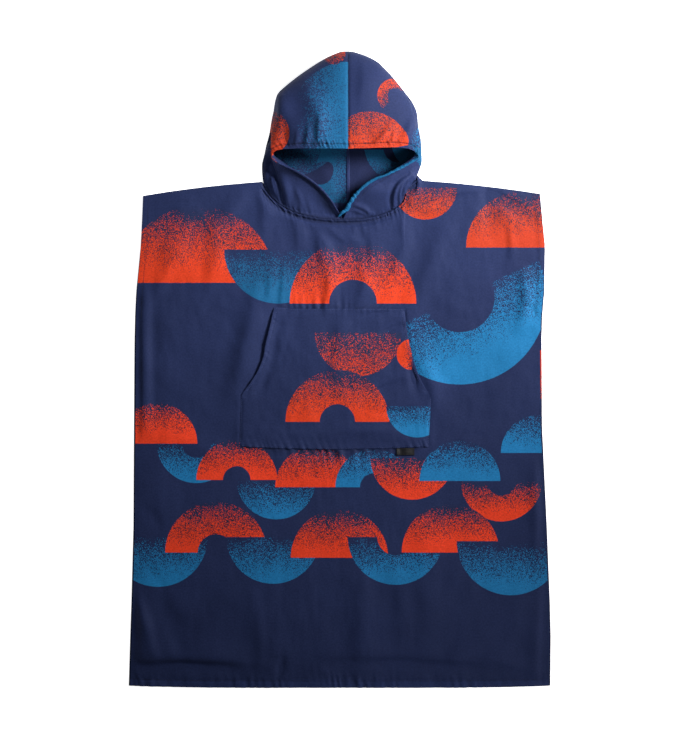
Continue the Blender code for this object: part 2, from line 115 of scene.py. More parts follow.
def bend(start, control, end, u):
    """Points of a quadratic curve: start (1-u)^2 + 2 control u (1-u) + end u^2."""
    u = np.asarray(u, float)[..., None]
    return np.asarray(start) * (1 - u) ** 2 + 2 * np.asarray(control) * u * (1 - u) + np.asarray(end) * u * u


def drawn_in(y):
    """How far the front's neckline is drawn in beside its right corner: a bell over y, wider below."""
    return DRAWN_IN * bell(y - DRAWN_IN_Y, 0.011, 0.021)


def upper_edge(c, neck):
    """Upper edge of a body panel for c from 0 to 3: left shoulder to 1, neckline to 2, right shoulder.

    A shoulder is a straight line with a low parabola on it, less a share that fades towards
    the neck, which leaves a peak there. Each half of the neckline is a quadratic curve, and
    the right one is drawn in by the neck's last value, a share from 0 to 1.
    """
    left_control, middle, right_control, share_in = neck
    runs = []
    for tip, corner, peak, u in zip(SHOULDER_TIPS, NECK_CORNERS, CORNER_PEAKS, (c, 3 - c)):
        line = np.array(tip) * (1 - u[..., None]) + np.array(corner) * u[..., None]
        line[..., 1] += SHOULDER_BOW * 4 * u * (1 - u) - peak * u * (1 - np.exp((u - 1) / PEAK_FADE))
        runs.append(line)
    left_half = bend(NECK_CORNERS[0], left_control, middle, np.clip(2 * (c - 1), 0, 1))
    right_half = bend(middle, right_control, NECK_CORNERS[1], np.clip(2 * (c - 1.5), 0, 1))
    right_half[..., 0] -= share_in * drawn_in(right_half[..., 1])
    c = c[..., None]
    return np.where(c <= 1, runs[0], np.where(c >= 2, runs[1], np.where(c < 1.5, left_half, right_half)))


def body_plan(columns, depths, neck, shows):
    """Plan grid of a body panel: down each column from the upper edge to the hem.

    Columns run from 0 to 3 and depths from 0 to 1. Columns start where the upper edge has
    them, and spread to even shares of the width over the first third of the way down.
    """

    def evenly(y):
        # The columns' x at height y, in even shares of the width there.
        left, right = side_edge(y, 2) - shows, side_edge(y, 3) + shows
        return left + (right - left) * columns / 3

    top = upper_edge(columns, neck)
    depths = depths[:, None]
    y = top[None, :, 1] * (1 - depths) + hem_edge((columns - 1.5) / 1.5) * depths
    return evenly(y) + (top[:, 0] - evenly(top[:, 1])) * (1 - eased(depths / SPREAD_DEPTH)), y


def spaced(*runs):
    """Places in order, from runs of (first, last, steps) that meet end to end."""
    return np.concatenate([np.linspace(a, b, n + 1)[min(i, 1):] for i, (a, b, n) in enumerate(runs)])


def placed(name, data):
    """Puts a mesh, a lamp or a camera into the scene, and returns its object."""
    made = bpy.data.objects.new(name, data)
    bpy.context.scene.collection.objects.link(made)
    return made


def cloth_wall(name, face, under, flat, painted_shading=0.0):
    """A closed wall between two grids of points, the seen face and the one under it, with its rims.

    flat gives each point's place on the cloth in metres, as the UV map that the print follows.
    The last argument is painted shading, kept as an attribute that scales the colour: 0 on open cloth,
    up to 1 for the darkest painted shade along seams, stitches and creases, and below 0 for painted light.
    """
    painted_shading = np.broadcast_to(painted_shading, face.shape[:2])
    facing = np.cross(face[1:, :-1] - face[:-1, :-1], face[:-1, 1:] - face[:-1, :-1])
    if np.sum(facing * (face - under)[:-1, :-1]) < 0:
        face, under, flat, painted_shading = (grid[:, ::-1] for grid in (face, under, flat, painted_shading))
    rows, columns = face.shape[:2]
    count = rows * columns
    index = np.arange(count).reshape(rows, columns)
    quads = np.stack([index[:-1, :-1], index[1:, :-1], index[1:, 1:], index[:-1, 1:]], axis=-1).reshape(-1, 4)
    rim = np.concatenate([index[0], index[1:, -1], index[-1, -2::-1], index[-2:0:-1, 0]])
    ahead = np.roll(rim, -1)
    rim_quads = np.stack([rim, ahead, ahead + count, rim + count], -1)
    quads = np.concatenate([quads, quads[:, ::-1] + count, rim_quads])
    mesh = bpy.data.meshes.new(name)
    mesh.from_pydata(np.concatenate([face.reshape(-1, 3), under.reshape(-1, 3)]), [], quads.tolist())
    layer = mesh.uv_layers.new(name="cloth")
    places = np.tile(flat.reshape(-1, 2), (2, 1))[quads.reshape(-1)]
    layer.data.foreach_set("uv", places.astype(np.float32).reshape(-1))
    nap_and_painted_shading = mesh.attributes.new("painted_shading", "FLOAT", "POINT")
    nap_and_painted_shading.data.foreach_set("value", np.tile(painted_shading.reshape(-1), 2).astype(np.float32))
    mesh.shade_smooth()
    mesh.set_sharp_from_angle(angle=np.radians(60))
    return placed(name, mesh)


def laid_cloth(name, x, y, top, underside, cut_x=None, painted_shading=0.0):
    """A cloth wall that lies flat: two heights over one plan. Its cut is the plan, or has an x of its own."""
    cut = np.stack([x if cut_x is None else cut_x, y], -1)
    return cloth_wall(name, np.stack([x, y, top], -1), np.stack([x, y, underside], -1), cut, painted_shading)


def new_finish(name, shine):
    """A plain material with a specular level: returns it, its node tree and its shader's inputs."""
    finish = bpy.data.materials.new(name)
    finish.use_nodes = True
    shader = finish.node_tree.nodes["Principled BSDF"]
    shader.inputs["Specular IOR Level"].default_value = shine
    return finish, finish.node_tree, shader.inputs


def step(tree, kind, inputs=(), output=0, **settings):
    """Adds one node: its settings, then its inputs in order, each a value, another node's output or None."""
    node = tree.nodes.new(kind)
    for setting, choice in settings.items():
        setattr(node, setting, choice)
    for socket, given in zip(node.inputs, inputs):
        if isinstance(given, bpy.types.NodeSocket):
            tree.links.new(given, socket)
        elif given is not None:
            socket.default_value = given
    return node.outputs[output]


def maths(tree, operation, *inputs):
    """A Math node. A sum or a product may have more than two terms."""
    made = step(tree, "ShaderNodeMath", inputs[:2], operation=operation)
    return maths(tree, operation, made, *inputs[2:]) if inputs[2:] else made


def ranged(tree, given, low, high, to_low=0.0, to_high=1.0):
    """A value spread from one range to another, and held at its ends."""
    return step(tree, "ShaderNodeMapRange", (given, low, high, to_low, to_high), clamp=True)


def noise(tree, place, size, detail=2.0, roughness=0.5, output=0):
    """Soft noise with features of about the given size in metres."""
    return step(tree, "ShaderNodeTexNoise", (place, None, 1 / size, detail, roughness), output=output)


def mixed(tree, share, first, second):
    """A colour between two others."""
    given = (share, None, None, None, None, None, first, second)
    return step(tree, "ShaderNodeMix", given, output=2, data_type="RGBA")


def effect_group(name, inputs, outputs):
    """An empty node group with its sockets: returns the group, its inputs' outputs, and its output node."""
    group = bpy.data.node_groups.new(name, "ShaderNodeTree")
    for label, kind in inputs:
        group.interface.new_socket(label, in_out="INPUT", socket_type=kind)
    for label, kind in outputs:
        group.interface.new_socket(label, in_out="OUTPUT", socket_type=kind)
    given = group.nodes.new("NodeGroupInput")
    made = group.nodes.new("NodeGroupOutput")
    return group, given.outputs, made.inputs


def sprayed_disc_group():
    """One motif: a disc with a hole, cut straight across, and sprayed thinner one way over the bare ground.

    Its place is turned and divided by the radius, so the rim is at distance 1. Cover
    rises from 0 at the bare height to 1 at the solid height, and ink falls where cover
    beats the grain. Inside its rim the motif hides what was printed before it.
    """
    number, vector, shade = "NodeSocketFloat", "NodeSocketVector", "NodeSocketColor"
    labels = [("Place", vector), ("Centre", vector)]
    labels += [(label, shade) for label in ("Below", "Ground", "Soaked", "Ink")]
    labels += [(label, number) for label in ("Grain", "Radius", "Turn", "Cut", "Hole", "Solid", "Bare")]
    group, given, made = effect_group("Sprayed disc", labels, [("Colour", shade)])
    turn = step(group, "ShaderNodeCombineXYZ", (0.0, 0.0, given["Turn"]))
    scale = step(group, "ShaderNodeCombineXYZ", (given["Radius"],) * 3)
    inputs = (given["Place"], given["Centre"], turn, scale)
    local = step(group, "ShaderNodeMapping", inputs, vector_type="TEXTURE")
    away = step(group, "ShaderNodeVectorMath", (local,), output=1, operation="LENGTH")
    up = step(group, "ShaderNodeSeparateXYZ", (local,), output=1)
    within = maths(group, "LESS_THAN", away, 1.0)
    past_hole = maths(group, "GREATER_THAN", away, given["Hole"])
    past_cut = maths(group, "GREATER_THAN", up, given["Cut"])
    shape = maths(group, "MULTIPLY", within, past_hole, past_cut)
    cover = step(group, "ShaderNodeMapRange", (up, given["Bare"], given["Solid"], 0.0, 1.0), clamp=False)
    ink = maths(group, "GREATER_THAN", cover, given["Grain"])
    between = mixed(group, ranged(group, cover, 0.0, 0.7), given["Ground"], given["Soaked"])
    sprayed = mixed(group, ink, between, given["Ink"])
    group.links.new(mixed(group, shape, given["Below"], sprayed), made["Colour"])
    return group


def grain_group():
    """The spray's grain, from 0 to a little over 1: specks of random strength, each weaker to its rim."""
    inputs, outputs = [("Place", "NodeSocketVector")], [("Grain", "NodeSocketFloat")]
    group, given, made = effect_group("Spray grain", inputs, outputs)
    place = given["Place"]
    sway = noise(group, place, 0.0020, 1.0, output=1)
    sway = step(group, "ShaderNodeVectorMath", (sway, (GRAIN_SWAY,) * 3), operation="MULTIPLY")
    place = step(group, "ShaderNodeVectorMath", (place, sway), operation="ADD")
    cells = (place, None, 1 / GRAIN_SIZE)
    chance = step(group, "ShaderNodeTexVoronoi", cells, output=1, voronoi_dimensions="2D")
    chance = maths(group, "MULTIPLY", step(group, "ShaderNodeSeparateColor", (chance,)), CHANCE_SHARE)
    away = step(group, "ShaderNodeTexVoronoi", cells, voronoi_dimensions="2D")
    fade = maths(group, "MULTIPLY", away, FADE_SHARE)
    clump = ranged(group, noise(group, given["Place"], 0.0055, 2.0), 0.25, 0.75, -CLUMPING, CLUMPING)
    cloud = ranged(group, noise(group, given["Place"], 0.050, 2.0, 0.55), 0.25, 0.75, -CLOUDING, CLOUDING)
    group.links.new(maths(group, "ADD", chance, fade, clump, cloud), made["Grain"])
    return group


def towelling_group():
    """Height of the towelling's face in metres: fine ribs both ways, a brushed nap and a little slack."""
    inputs, outputs = [("Place", "NodeSocketVector")], [("Height", "NodeSocketFloat")]
    group, given, made = effect_group("Towelling", inputs, outputs)
    ribs = [step(group, "ShaderNodeSeparateXYZ", (given["Place"],), output=way) for way in (0, 1)]
    ribs = [maths(group, "SINE", maths(group, "MULTIPLY", way, 2 * np.pi / RIB_PITCH)) for way in ribs]
    weave = maths(group, "MULTIPLY", *ribs, RIB_HEIGHT)
    nap_and_painted_shading = maths(group, "MULTIPLY", noise(group, given["Place"], 0.0014, 3.0, 0.6), NAP_HEIGHT)
    slack = maths(group, "MULTIPLY", noise(group, given["Place"], 0.046, 3.0, 0.45), SLACK_HEIGHT)
    group.links.new(maths(group, "ADD", weave, nap_and_painted_shading, slack), made["Height"])
    return group


SPRAYED_DISC = sprayed_disc_group()
SPRAY_GRAIN = grain_group()
TOWELLING = towelling_group()


def grouped(tree, group, **inputs):
    """Places a node group, with its inputs by name, and returns its first output."""
    node = tree.nodes.new("ShaderNodeGroup")
    node.node_tree = group
    for label, given in inputs.items():
        socket = node.inputs[label]
        if isinstance(given, bpy.types.NodeSocket):
            tree.links.new(given, socket)
        else:
            socket.default_value = given
    return node.outputs[0]


# How much of the ground's red, green and blue is seen between the specks of an ink.
SOAKED_SHARES = {
    **dict.fromkeys((ORANGE_PAINTED_DARK, ORANGE, ORANGE_PAINTED_LIGHT), (1.3, 0.80, 0.40)),
    **dict.fromkeys((BLUE_PAINTED_DARK, BLUE, BLUE_PAINTED_LIGHT, BLUE_PAINTED_SHADE), (0.7, 0.9, 0.9)),
    **dict.fromkeys((NAVY, NAVY_PAINTED_SHADE), (1, 1, 1)),
}


def printed_towelling(name, motifs, ground=NAVY):
    """Dyed and printed microfibre: a dull weave whose dye takes unevenly.

    The motifs are printed over the ground in turn. Painted shading darkens it along seams and creases, and
    lightens it on turned hems.
    """
    finish, tree, sockets = new_finish(name, 0.12)
    place = step(tree, "ShaderNodeUVMap", uv_map="cloth")
    grain = grouped(tree, SPRAY_GRAIN, Place=place)
    colour = step(tree, "ShaderNodeRGB")
    colour.default_value = (*ground, 1)
    for _motif, ink, x, y, radius, turn, cut, hole, solid, bare in motifs:
        soaked = [share * part for share, part in zip(SOAKED_SHARES[ink], ground)]
        colour = grouped(
            tree, SPRAYED_DISC, Place=place, Centre=(x, y, 0), Below=colour, Ground=(*ground, 1),
            Soaked=(*soaked, 1), Ink=(*ink, 1), Grain=grain, Radius=radius, Turn=np.radians(turn),
            Cut=cut, Hole=hole, Solid=solid, Bare=bare,
        )
    cloud = ranged(tree, noise(tree, place, 0.13, 3.0), 0.3, 0.7, 0.93, 1.07)
    fleck = ranged(tree, noise(tree, place, 0.0034, 2.0), 0.3, 0.7, 0.86, 1.14)
    # The colour is darkened by painted shade where the shading attribute is above 0, and lightened by painted
    # light where it is below.
    painted_shading = step(tree, "ShaderNodeAttribute", output=2, attribute_name="painted_shading")
    tone_and_painted_shading = maths(tree, "MULTIPLY", cloud, fleck, maths(tree, "SUBTRACT", 1.0, painted_shading))
    shade = step(tree, "ShaderNodeCombineXYZ", (tone_and_painted_shading,) * 3)
    colour = step(tree, "ShaderNodeVectorMath", (colour, shade), operation="MULTIPLY")
    tree.links.new(colour, sockets["Base Color"])
    tree.links.new(ranged(tree, fleck, 0.86, 1.14, 0.74, 0.64), sockets["Roughness"])
    relief = step(tree, "ShaderNodeBump", (1.0, 1.0, None, grouped(tree, TOWELLING, Place=place)))
    tree.links.new(relief, sockets["Normal"])
    return finish


BACK_MOTIFS = (
    # name, ink, x, y, radius, turn, cut, hole, solid, bare
    ("left disc", ORANGE, -0.330, 0.060, 0.130, 200, 0.0, 0.0, 0.1, 1.0),
    ("middle disc", BLUE, 0.020, 0.120, 0.150, 20, 0.0, 0.0, 0.9, -0.1),
    ("right disc", ORANGE, 0.260, -0.080, 0.110, 135, 0.0, 0.35, 0.2, 1.1),
    ("lower left ring", BLUE, -0.210, -0.220, 0.120, 45, 0.0, 0.4, 0.8, 0.0),
    ("lower right disc", ORANGE, 0.130, -0.330, 0.100, 225, 0.0, 0.0, 0.2, 1.0),
)

columns = spaced((0, 1, 24), (1, 2, 40), (2, 3, 24))
back_x, back_y = body_plan(columns, np.linspace(0, 1, 90), BACK_NECK, BACK_SHOWS)
flat_floor = np.zeros_like(back_x)
back = laid_cloth("back_cloth", back_x, back_y, flat_floor + CLOTH, flat_floor, cut_x=-back_x)
back.data.materials.append(printed_towelling("back towelling", BACK_MOTIFS))
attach(back, "root")
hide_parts("back_panel")


# Front panel.
# The same towelling, with a deeper neckline. Its sides and shoulders are sewn to the back,
# the armholes and the lower edge are turned in and stitched, and between its seams it
# floats a few millimetres over the back in soft drapes.

SEAM_GAP = 0.0003  # air between two layers that lie on each other
PUFF = 0.0026  # how far the front floats over the back
SEWN_LOW = 2 * CLOTH + SEAM_GAP  # height of the front's face where it is sewn to the back
FRONT_NECK = ((-0.1226, 0.2914), (0.0068, 0.2905), (0.1322, 0.2885), 1.0)  # as BACK_NECK
NECK_HALF_WIDTH = 0.1515
NECK_MIDDLE_TOP, NECK_CORNER_TOP = 0.0075, 0.0037  # heights of the neckline, which the hood pulls up
HEM_DEPTH, ARM_HEM = 0.0160, 0.0130
HEM_RAISE, ARM_RAISES = 0.0009, (0.3, 0.7)  # a turned edge's height, and the left and right armhole's shares
HEM_STITCH = 0.0025  # from a hem's inner edge to its stitch line
NECK_STITCH = 0.0058  # from the neckline's seam to the stitch line round it
UNDERARM_Y = 0.100
LIVELY_Y = -0.36  # below this, the cloth is slacker
POCKET_TOP, POCKET_FOOT, MOUTH_FOOT = 0.118, -0.148, -0.048  # the last where a mouth meets its upright side
TOP_RISE, TOP_RISE_X, FOOT_SAG = 0.0030, -0.127, 0.0054  # the pocket's top by its left corner, and its foot
TOP_REACH, FOOT_REACH, FOOT_MIDDLE = 0.1270, 0.175, -0.01  # where the pocket's seams gather the front
HEM_PUCKERS, TOP_GATHERS, FOOT_GATHERS = (0.0180, 6.4), (0.017, 5.1), (0.021, 2.6)  # pitch, seed

BODY_FOLDS = (
    # name, x and y of one end, x and y of the other, bow, width right or above, width left or below, height
    ("left side ridge", -0.381, 0.140, -0.379, -0.110, 0.002, 0.015, 0.007, 0.0045),
    ("left side trough", -0.361, 0.150, -0.358, -0.060, 0.000, 0.013, 0.009, -0.0022),
    ("left pocket ridge", -0.161, 0.135, -0.198, -0.029, 0.000, 0.027, 0.019, 0.0078),
    ("left chest crease", -0.0878, 0.3030, -0.0780, 0.2451, 0.003, 0.018, 0.010, 0.0042),
    ("left chest low crease", -0.1341, 0.1775, -0.1380, 0.1293, 0.002, 0.016, 0.008, 0.0032),
    ("left chest low dash", -0.1071, 0.1833, -0.1129, 0.1350, 0.001, 0.013, 0.006, 0.0026),
    ("neck hollow", -0.0560, 0.2760, -0.0200, 0.2480, 0.004, 0.012, 0.016, -0.0030),
    ("chest drape, upper", -0.0511, 0.2856, -0.0357, 0.2316, 0.004, 0.022, 0.011, 0.0045),
    ("chest drape, middle", -0.0337, 0.2393, -0.0299, 0.1968, 0.000, 0.022, 0.011, 0.0040),
    ("chest drape, lower", -0.0183, 0.1891, -0.0241, 0.1293, 0.002, 0.015, 0.009, 0.0046),
    ("chest slant, first", -0.0222, 0.2779, 0.0203, 0.2451, -0.003, 0.009, 0.006, 0.0030),
    ("chest slant, second", 0.0107, 0.2644, 0.0493, 0.2374, -0.002, 0.009, 0.006, 0.0022),
    ("chest slant, third", -0.0337, 0.2547, -0.0125, 0.2277, -0.002, 0.007, 0.005, 0.0018),
    ("neck pucker one", 0.0242, 0.2895, 0.0280, 0.2683, 0.000, 0.005, 0.0032, 0.0020),
    ("neck pucker two", 0.0415, 0.2914, 0.0473, 0.2663, 0.000, 0.006, 0.0035, 0.0024),
    ("neck pucker three", 0.0666, 0.2933, 0.0720, 0.2760, 0.000, 0.005, 0.0045, 0.0016),
    ("right chest drape, upper", 0.0608, 0.2547, 0.0647, 0.2084, 0.002, 0.020, 0.009, 0.0034),
    ("right chest drape, lower", 0.0454, 0.1968, 0.0396, 0.1350, 0.006, 0.018, 0.012, 0.0044),
    ("right neck drape, upper", 0.1245, 0.2933, 0.1265, 0.2470, -0.002, 0.016, 0.009, 0.0030),
    ("right neck drape, lower", 0.1188, 0.2277, 0.1060, 0.1872, -0.002, 0.020, 0.011, 0.0030),
    ("right chest slant", 0.198, 0.262, 0.150, 0.150, 0.004, 0.026, 0.018, 0.0045),
    ("left neck drape", -0.1495, 0.3358, -0.1457, 0.2856, 0.003, 0.020, 0.010, 0.0040),
    ("left neck trough", -0.152, 0.352, -0.124, 0.312, -0.003, 0.008, 0.010, -0.0024),
    ("left shoulder drape", -0.182, 0.352, -0.232, 0.280, 0.004, 0.016, 0.024, 0.0039),
    ("left chest swell", -0.238, 0.250, -0.246, 0.175, 0.004, 0.022, 0.016, 0.0039),
    ("left shoulder swell", -0.300, 0.285, -0.325, 0.205, 0.004, 0.026, 0.026, 0.0042),
    ("left armhole drape", -0.323, 0.205, -0.366, 0.135, 0.003, 0.012, 0.014, 0.0028),
    ("right shoulder crease", 0.288, 0.344, 0.364, 0.293, 0.003, 0.009, 0.012, -0.0058),
    ("right shoulder trough", 0.286, 0.342, 0.290, 0.280, 0.000, 0.020, 0.012, -0.0034),
    ("right armhole streak", 0.328, 0.268, 0.331, 0.226, 0.001, 0.010, 0.007, 0.0028),
    ("right armhole dash", 0.366, 0.199, 0.379, 0.194, 0.000, 0.004, 0.004, -0.0014),
    ("right armhole fold", 0.356, 0.172, 0.350, 0.092, 0.006, 0.014, 0.012, 0.0056),
    ("right armhole crease", 0.362, 0.122, 0.386, 0.104, 0.002, 0.005, 0.006, -0.0021),
    ("right underarm crease", 0.370, 0.088, 0.388, 0.080, 0.001, 0.005, 0.006, 0.0018),
    ("neck corner hollow", 0.1500, 0.3650, 0.1475, 0.3520, 0.000, 0.0035, 0.0030, -0.0050),
    ("neck corner streak", 0.148, 0.345, 0.262, 0.352, 0.003, 0.006, 0.006, 0.0030),
    ("neck corner fold", 0.146, 0.324, 0.292, 0.351, 0.004, 0.010, 0.007, 0.0042),
    ("neck corner pinch", 0.142, 0.316, 0.205, 0.312, -0.003, 0.006, 0.008, 0.0018),
    ("right mouth swell", 0.166, 0.004, 0.188, -0.060, 0.002, 0.020, 0.013, 0.0045),
    ("right rib crease", 0.368, -0.002, 0.390, 0.000, 0.001, 0.006, 0.008, -0.0017),
    ("right hip ridge", 0.380, -0.195, 0.378, -0.345, 0.002, 0.010, 0.012, 0.0042),
    ("left hip crease", -0.388, -0.262, -0.346, -0.297, 0.002, 0.007, 0.006, -0.0027),
    ("left thigh crease", -0.372, -0.388, -0.338, -0.420, 0.002, 0.006, 0.005, -0.0017),
    ("left waist slack", -0.350, -0.130, -0.230, -0.175, 0.010, 0.024, 0.020, 0.0022),
    ("middle waist slack", -0.060, -0.190, 0.160, -0.210, 0.012, 0.016, 0.030, 0.0017),
    ("lower left corner ridge", -0.3937, -0.444, -0.3640, -0.530, 0.003, 0.012, 0.024, 0.0095),
    ("lower left dent", -0.341, -0.440, -0.330, -0.480, 0.000, 0.014, 0.016, -0.0027),
    ("lower left hollow", -0.312, -0.505, -0.304, -0.545, 0.000, 0.012, 0.014, -0.0027),
    ("lower left foot ridge", -0.372, -0.556, -0.196, -0.560, 0.002, 0.026, 0.011, 0.0095),
    ("lower left foot crease", -0.378, -0.569, -0.215, -0.571, 0.004, 0.009, 0.013, -0.0046),
    ("lower right foot crease", 0.030, -0.562, 0.220, -0.573, 0.006, 0.010, 0.014, -0.0040),
    ("lower right foot puff", 0.230, -0.545, 0.330, -0.566, 0.003, 0.010, 0.008, 0.0026),
    ("lower left drape", -0.163, -0.445, -0.151, -0.560, 0.004, 0.012, 0.015, 0.0034),
    ("lower left crease", -0.121, -0.500, -0.127, -0.560, -0.002, 0.024, 0.014, 0.0030),
    ("lower left pinch", -0.110, -0.560, -0.118, -0.590, 0.000, 0.008, 0.007, -0.0042),
    ("middle foot ridge", -0.010, -0.550, 0.165, -0.556, 0.002, 0.020, 0.010, 0.0052),
    ("lower middle drape", 0.042, -0.425, 0.036, -0.575, 0.003, 0.026, 0.021, 0.0042),
    ("lower middle dent", 0.117, -0.430, 0.118, -0.510, 0.002, 0.020, 0.014, 0.0022),
    ("lower right drape", 0.163, -0.350, 0.165, -0.525, 0.003, 0.034, 0.017, 0.0034),
    ("right foot ridge", 0.196, -0.556, 0.275, -0.562, 0.003, 0.022, 0.010, 0.0062),
    ("right foot slope", 0.290, -0.558, 0.385, -0.582, 0.003, 0.018, 0.011, 0.0025),
    ("right foot dimple", 0.200, -0.535, 0.238, -0.540, 0.000, 0.007, 0.007, -0.0020),
    ("lower right drift", 0.345, -0.420, 0.333, -0.520, 0.004, 0.020, 0.020, 0.0022),
    ("lower right slant", 0.310, -0.490, 0.232, -0.540, 0.004, 0.014, 0.016, 0.0020),
    ("lower right ridge", 0.387, -0.440, 0.380, -0.580, -0.002, 0.007, 0.020, 0.0048),
)


def folded(x, y, folds):
    """Height that soft folds add at x, y: each a bell across its own bowed line, that dies out past its ends.

    A fold's two sides have their own widths, so that one is steeper, and it stands highest half way.
    """
    total = np.zeros_like(x)
    for _name, x0, y0, x1, y1, bow, one_width, other_width, height in folds:
        run = np.array([x1 - x0, y1 - y0])
        length = np.hypot(*run)
        along = ((x - x0) * run[0] + (y - y0) * run[1]) / length**2
        across = ((y - y0) * run[0] - (x - x0) * run[1]) / length
        held = np.clip(along, 0, 1)
        across = across - bow * 4 * held * (1 - held)
        width = np.where(across > 0, one_width, other_width)
        past = (along - held) * length
        height = height * (0.55 + 0.45 * np.sin(np.pi * held))
        total += height * np.exp(-((across / width) ** 2) - (past / (0.8 * (one_width + other_width))) ** 2)
    return total


def puckered(s, pitch, seed):
    """Uneven small waves along a seam, from -1 to 1: two waves whose spacing drifts."""

    def wave(pitches, phase):
        return np.sin(2 * np.pi * s / (pitches * pitch) + phase)

    drift = 2.1 * wave(7.3, seed) + 1.3 * wave(3.1, 2 * seed)
    strength = 0.65 + 0.35 * wave(11.7, 3 * seed)
    return (0.6 * wave(1, drift) + 0.4 * wave(1.63, seed - 1.4 * drift)) * strength


def stitch_pull(off, s, pitch, seed, depth, reach=0.0075, slant=0.0, groove_width=0.0013):
    """A stitch line's pull on the cloth at distance off from it: a narrow groove, and puckers that fade away.

    The puckers lie across the line, or lean by the slant.
    """
    puckers = puckered(s + slant * off, pitch, seed) * np.exp(-np.abs(off) / reach)
    return depth * (puckers - 0.9 * bell(off, groove_width))


def turned(off, depth, slope=0.0014):
    """1 on a turned edge of this depth, 0 past it, with an S-curve between."""
    return 1 - eased((off - depth) / slope + 0.5)


def unit(ways):
    """Directions, brought to length 1."""
    return ways / np.linalg.norm(ways, axis=-1, keepdims=True)


def arc_lengths(line):
    """How far along a row of places each of them is."""
    return np.concatenate([[0], np.cumsum(np.linalg.norm(np.diff(line, axis=0), axis=1))])


def from_line(points, line):
    """Each point's distance to a curve given as a row of places, and how far along it its nearest point lies.

    The nearest given place is found first, then the nearest point of the tangent there.
    """
    lengths = arc_lengths(line)
    tangent = unit(np.gradient(line, axis=0))
    nearest = np.argmin(sum((points[..., k, None] - line[:, k]) ** 2 for k in range(line.shape[1])), axis=-1)
    gap = points - line[nearest]
    room = lengths[-1] / len(line)
    ahead = np.clip(np.sum(gap * tangent[nearest], axis=-1), -room, room)
    away = np.linalg.norm(gap - ahead[..., None] * tangent[nearest], axis=-1)
    return away, lengths[nearest] + ahead


def crumpled(x, y, size, seed):
    """Soft noise from -1 to 1 with features of a given size: random knots on a grid, joined by S-curves."""
    knots = np.random.default_rng(seed).uniform(-1, 1, (64, 64))
    column, row = x / size + 32, y / size + 32
    i, j = np.floor(column).astype(int) % 63, np.floor(row).astype(int) % 63
    u, v = eased(column % 1), eased(row % 1)
    lower = knots[i, j] * (1 - u) + knots[i + 1, j] * u
    upper = knots[i, j + 1] * (1 - u) + knots[i + 1, j + 1] * u
    return lower * (1 - v) + upper * v


POCKET_SIDES = (
    # name, y, left x, right x
    ("foot", -0.148, -0.1922, 0.1714),
    ("side", -0.100, -0.1910, 0.1742),
    ("mouth foot", -0.054, -0.1897, 0.1768),
    ("mouth corner", -0.047, -0.1885, 0.1732),
    ("mouth curve", -0.025, -0.1720, 0.1600),
    ("mouth bend", -0.002, -0.1570, 0.1492),
    ("mouth middle", 0.023, -0.1465, 0.1420),
    ("mouth upper", 0.050, -0.1420, 0.1345),
    ("mouth top", 0.085, -0.1332, 0.1288),
    ("top", 0.118, -0.1255, 0.1254),
)


def pocket_side(level, column):
    """The pocket's side at a height: the table's corners, rounded by a mean over 6 mm either way."""
    rows = [row[1] for row in POCKET_SIDES]
    near = level[..., None] + np.linspace(-0.006, 0.006, 9)
    return np.interp(near, rows, [row[column] for row in POCKET_SIDES]).mean(axis=-1)


def pocket_top(x):
    """The pocket's sewn top, which rises a little to its left corner."""
    return POCKET_TOP + TOP_RISE * bell(x - TOP_RISE_X, 0.030)


def pocket_foot(x):
    """The pocket's sewn foot, which sags between its corners on a parabola."""
    left, right = POCKET_SIDES[0][2:]
    share = np.abs(x - (left + right) / 2) / ((right - left) / 2)
    return POCKET_FOOT - FOOT_SAG * (1 - np.minimum(share, 1) ** 2)


NECK_SEAM = upper_edge(np.linspace(1, 2, 161), FRONT_NECK)


def by_neck(x, y):
    """Distance to the neck seam, and a mask that is 1 under the neckline and 0 outside its corners."""
    return from_line(np.stack([x, y], -1), NECK_SEAM)[0], eased((NECK_HALF_WIDTH - np.abs(x)) / 0.003)


def flat_bell(off, width):
    """A bell with a broad top: exp(-(off/width)^4)."""
    return np.exp(-((off / width) ** 4))


def near_middle(x, width=0.095):
    """1 round the neckline's lowest place, and 0 at its sides."""
    return flat_bell(x + 0.012, width)


def front_drape(x, y, from_side):
    """The front's soft forms: its folds, slow waves, and small slack that is livelier towards the hem."""
    relief = folded(x, y, BODY_FOLDS) * (1 - bell(from_side, 0.012))
    slow = np.sin(17 * x + 9 * y + 1.0) * np.sin(11 * x - 6 * y + 0.4)
    relief += 0.0006 * slow * (1 - np.exp(-from_side / 0.04))
    lively = eased((LIVELY_Y - y) / 0.08)
    slack = (0.0010 + 0.0006 * lively) * crumpled(x + 0.2 * y, y, 0.050, 3)
    slack += (0.00045 + 0.0003 * lively) * crumpled(x - 0.3 * y, y, 0.019, 8)
    slack += 0.00028 * crumpled(x / 2.6, y, 0.0095, 11) + 0.00028 * crumpled(x, y / 2.6, 0.0085, 12)
    return relief + slack * (1 - np.exp(-from_side / 0.02))


def hem_relief(x, y, from_side, from_hem):
    """The hem and the armholes: turned edges, each with its line of stitches, and puckers by every edge."""
    on_arm = eased((y - UNDERARM_Y) / 0.012)
    z = HEM_RAISE * turned(from_hem, HEM_DEPTH)
    z += np.where(x < 0, *ARM_RAISES) * HEM_RAISE * turned(from_side, ARM_HEM) * on_arm
    z += stitch_pull(from_hem - HEM_DEPTH + HEM_STITCH, x, 0.0165, 0.4, 0.00200, 0.0080, 0.2)
    z += 0.0022 * puckered(x, *HEM_PUCKERS) * np.exp(-from_hem / 0.011) * (1 - np.exp(-from_side / 0.006))
    z += stitch_pull(from_side - ARM_HEM + HEM_STITCH, y + 5 * np.sign(x), 0.015, 1.3, 0.00042) * on_arm
    return z + 0.0004 * puckered(y + 3 * np.sign(x), 0.017, 2.2) * np.exp(-from_side / 0.009) * (1 - on_arm)


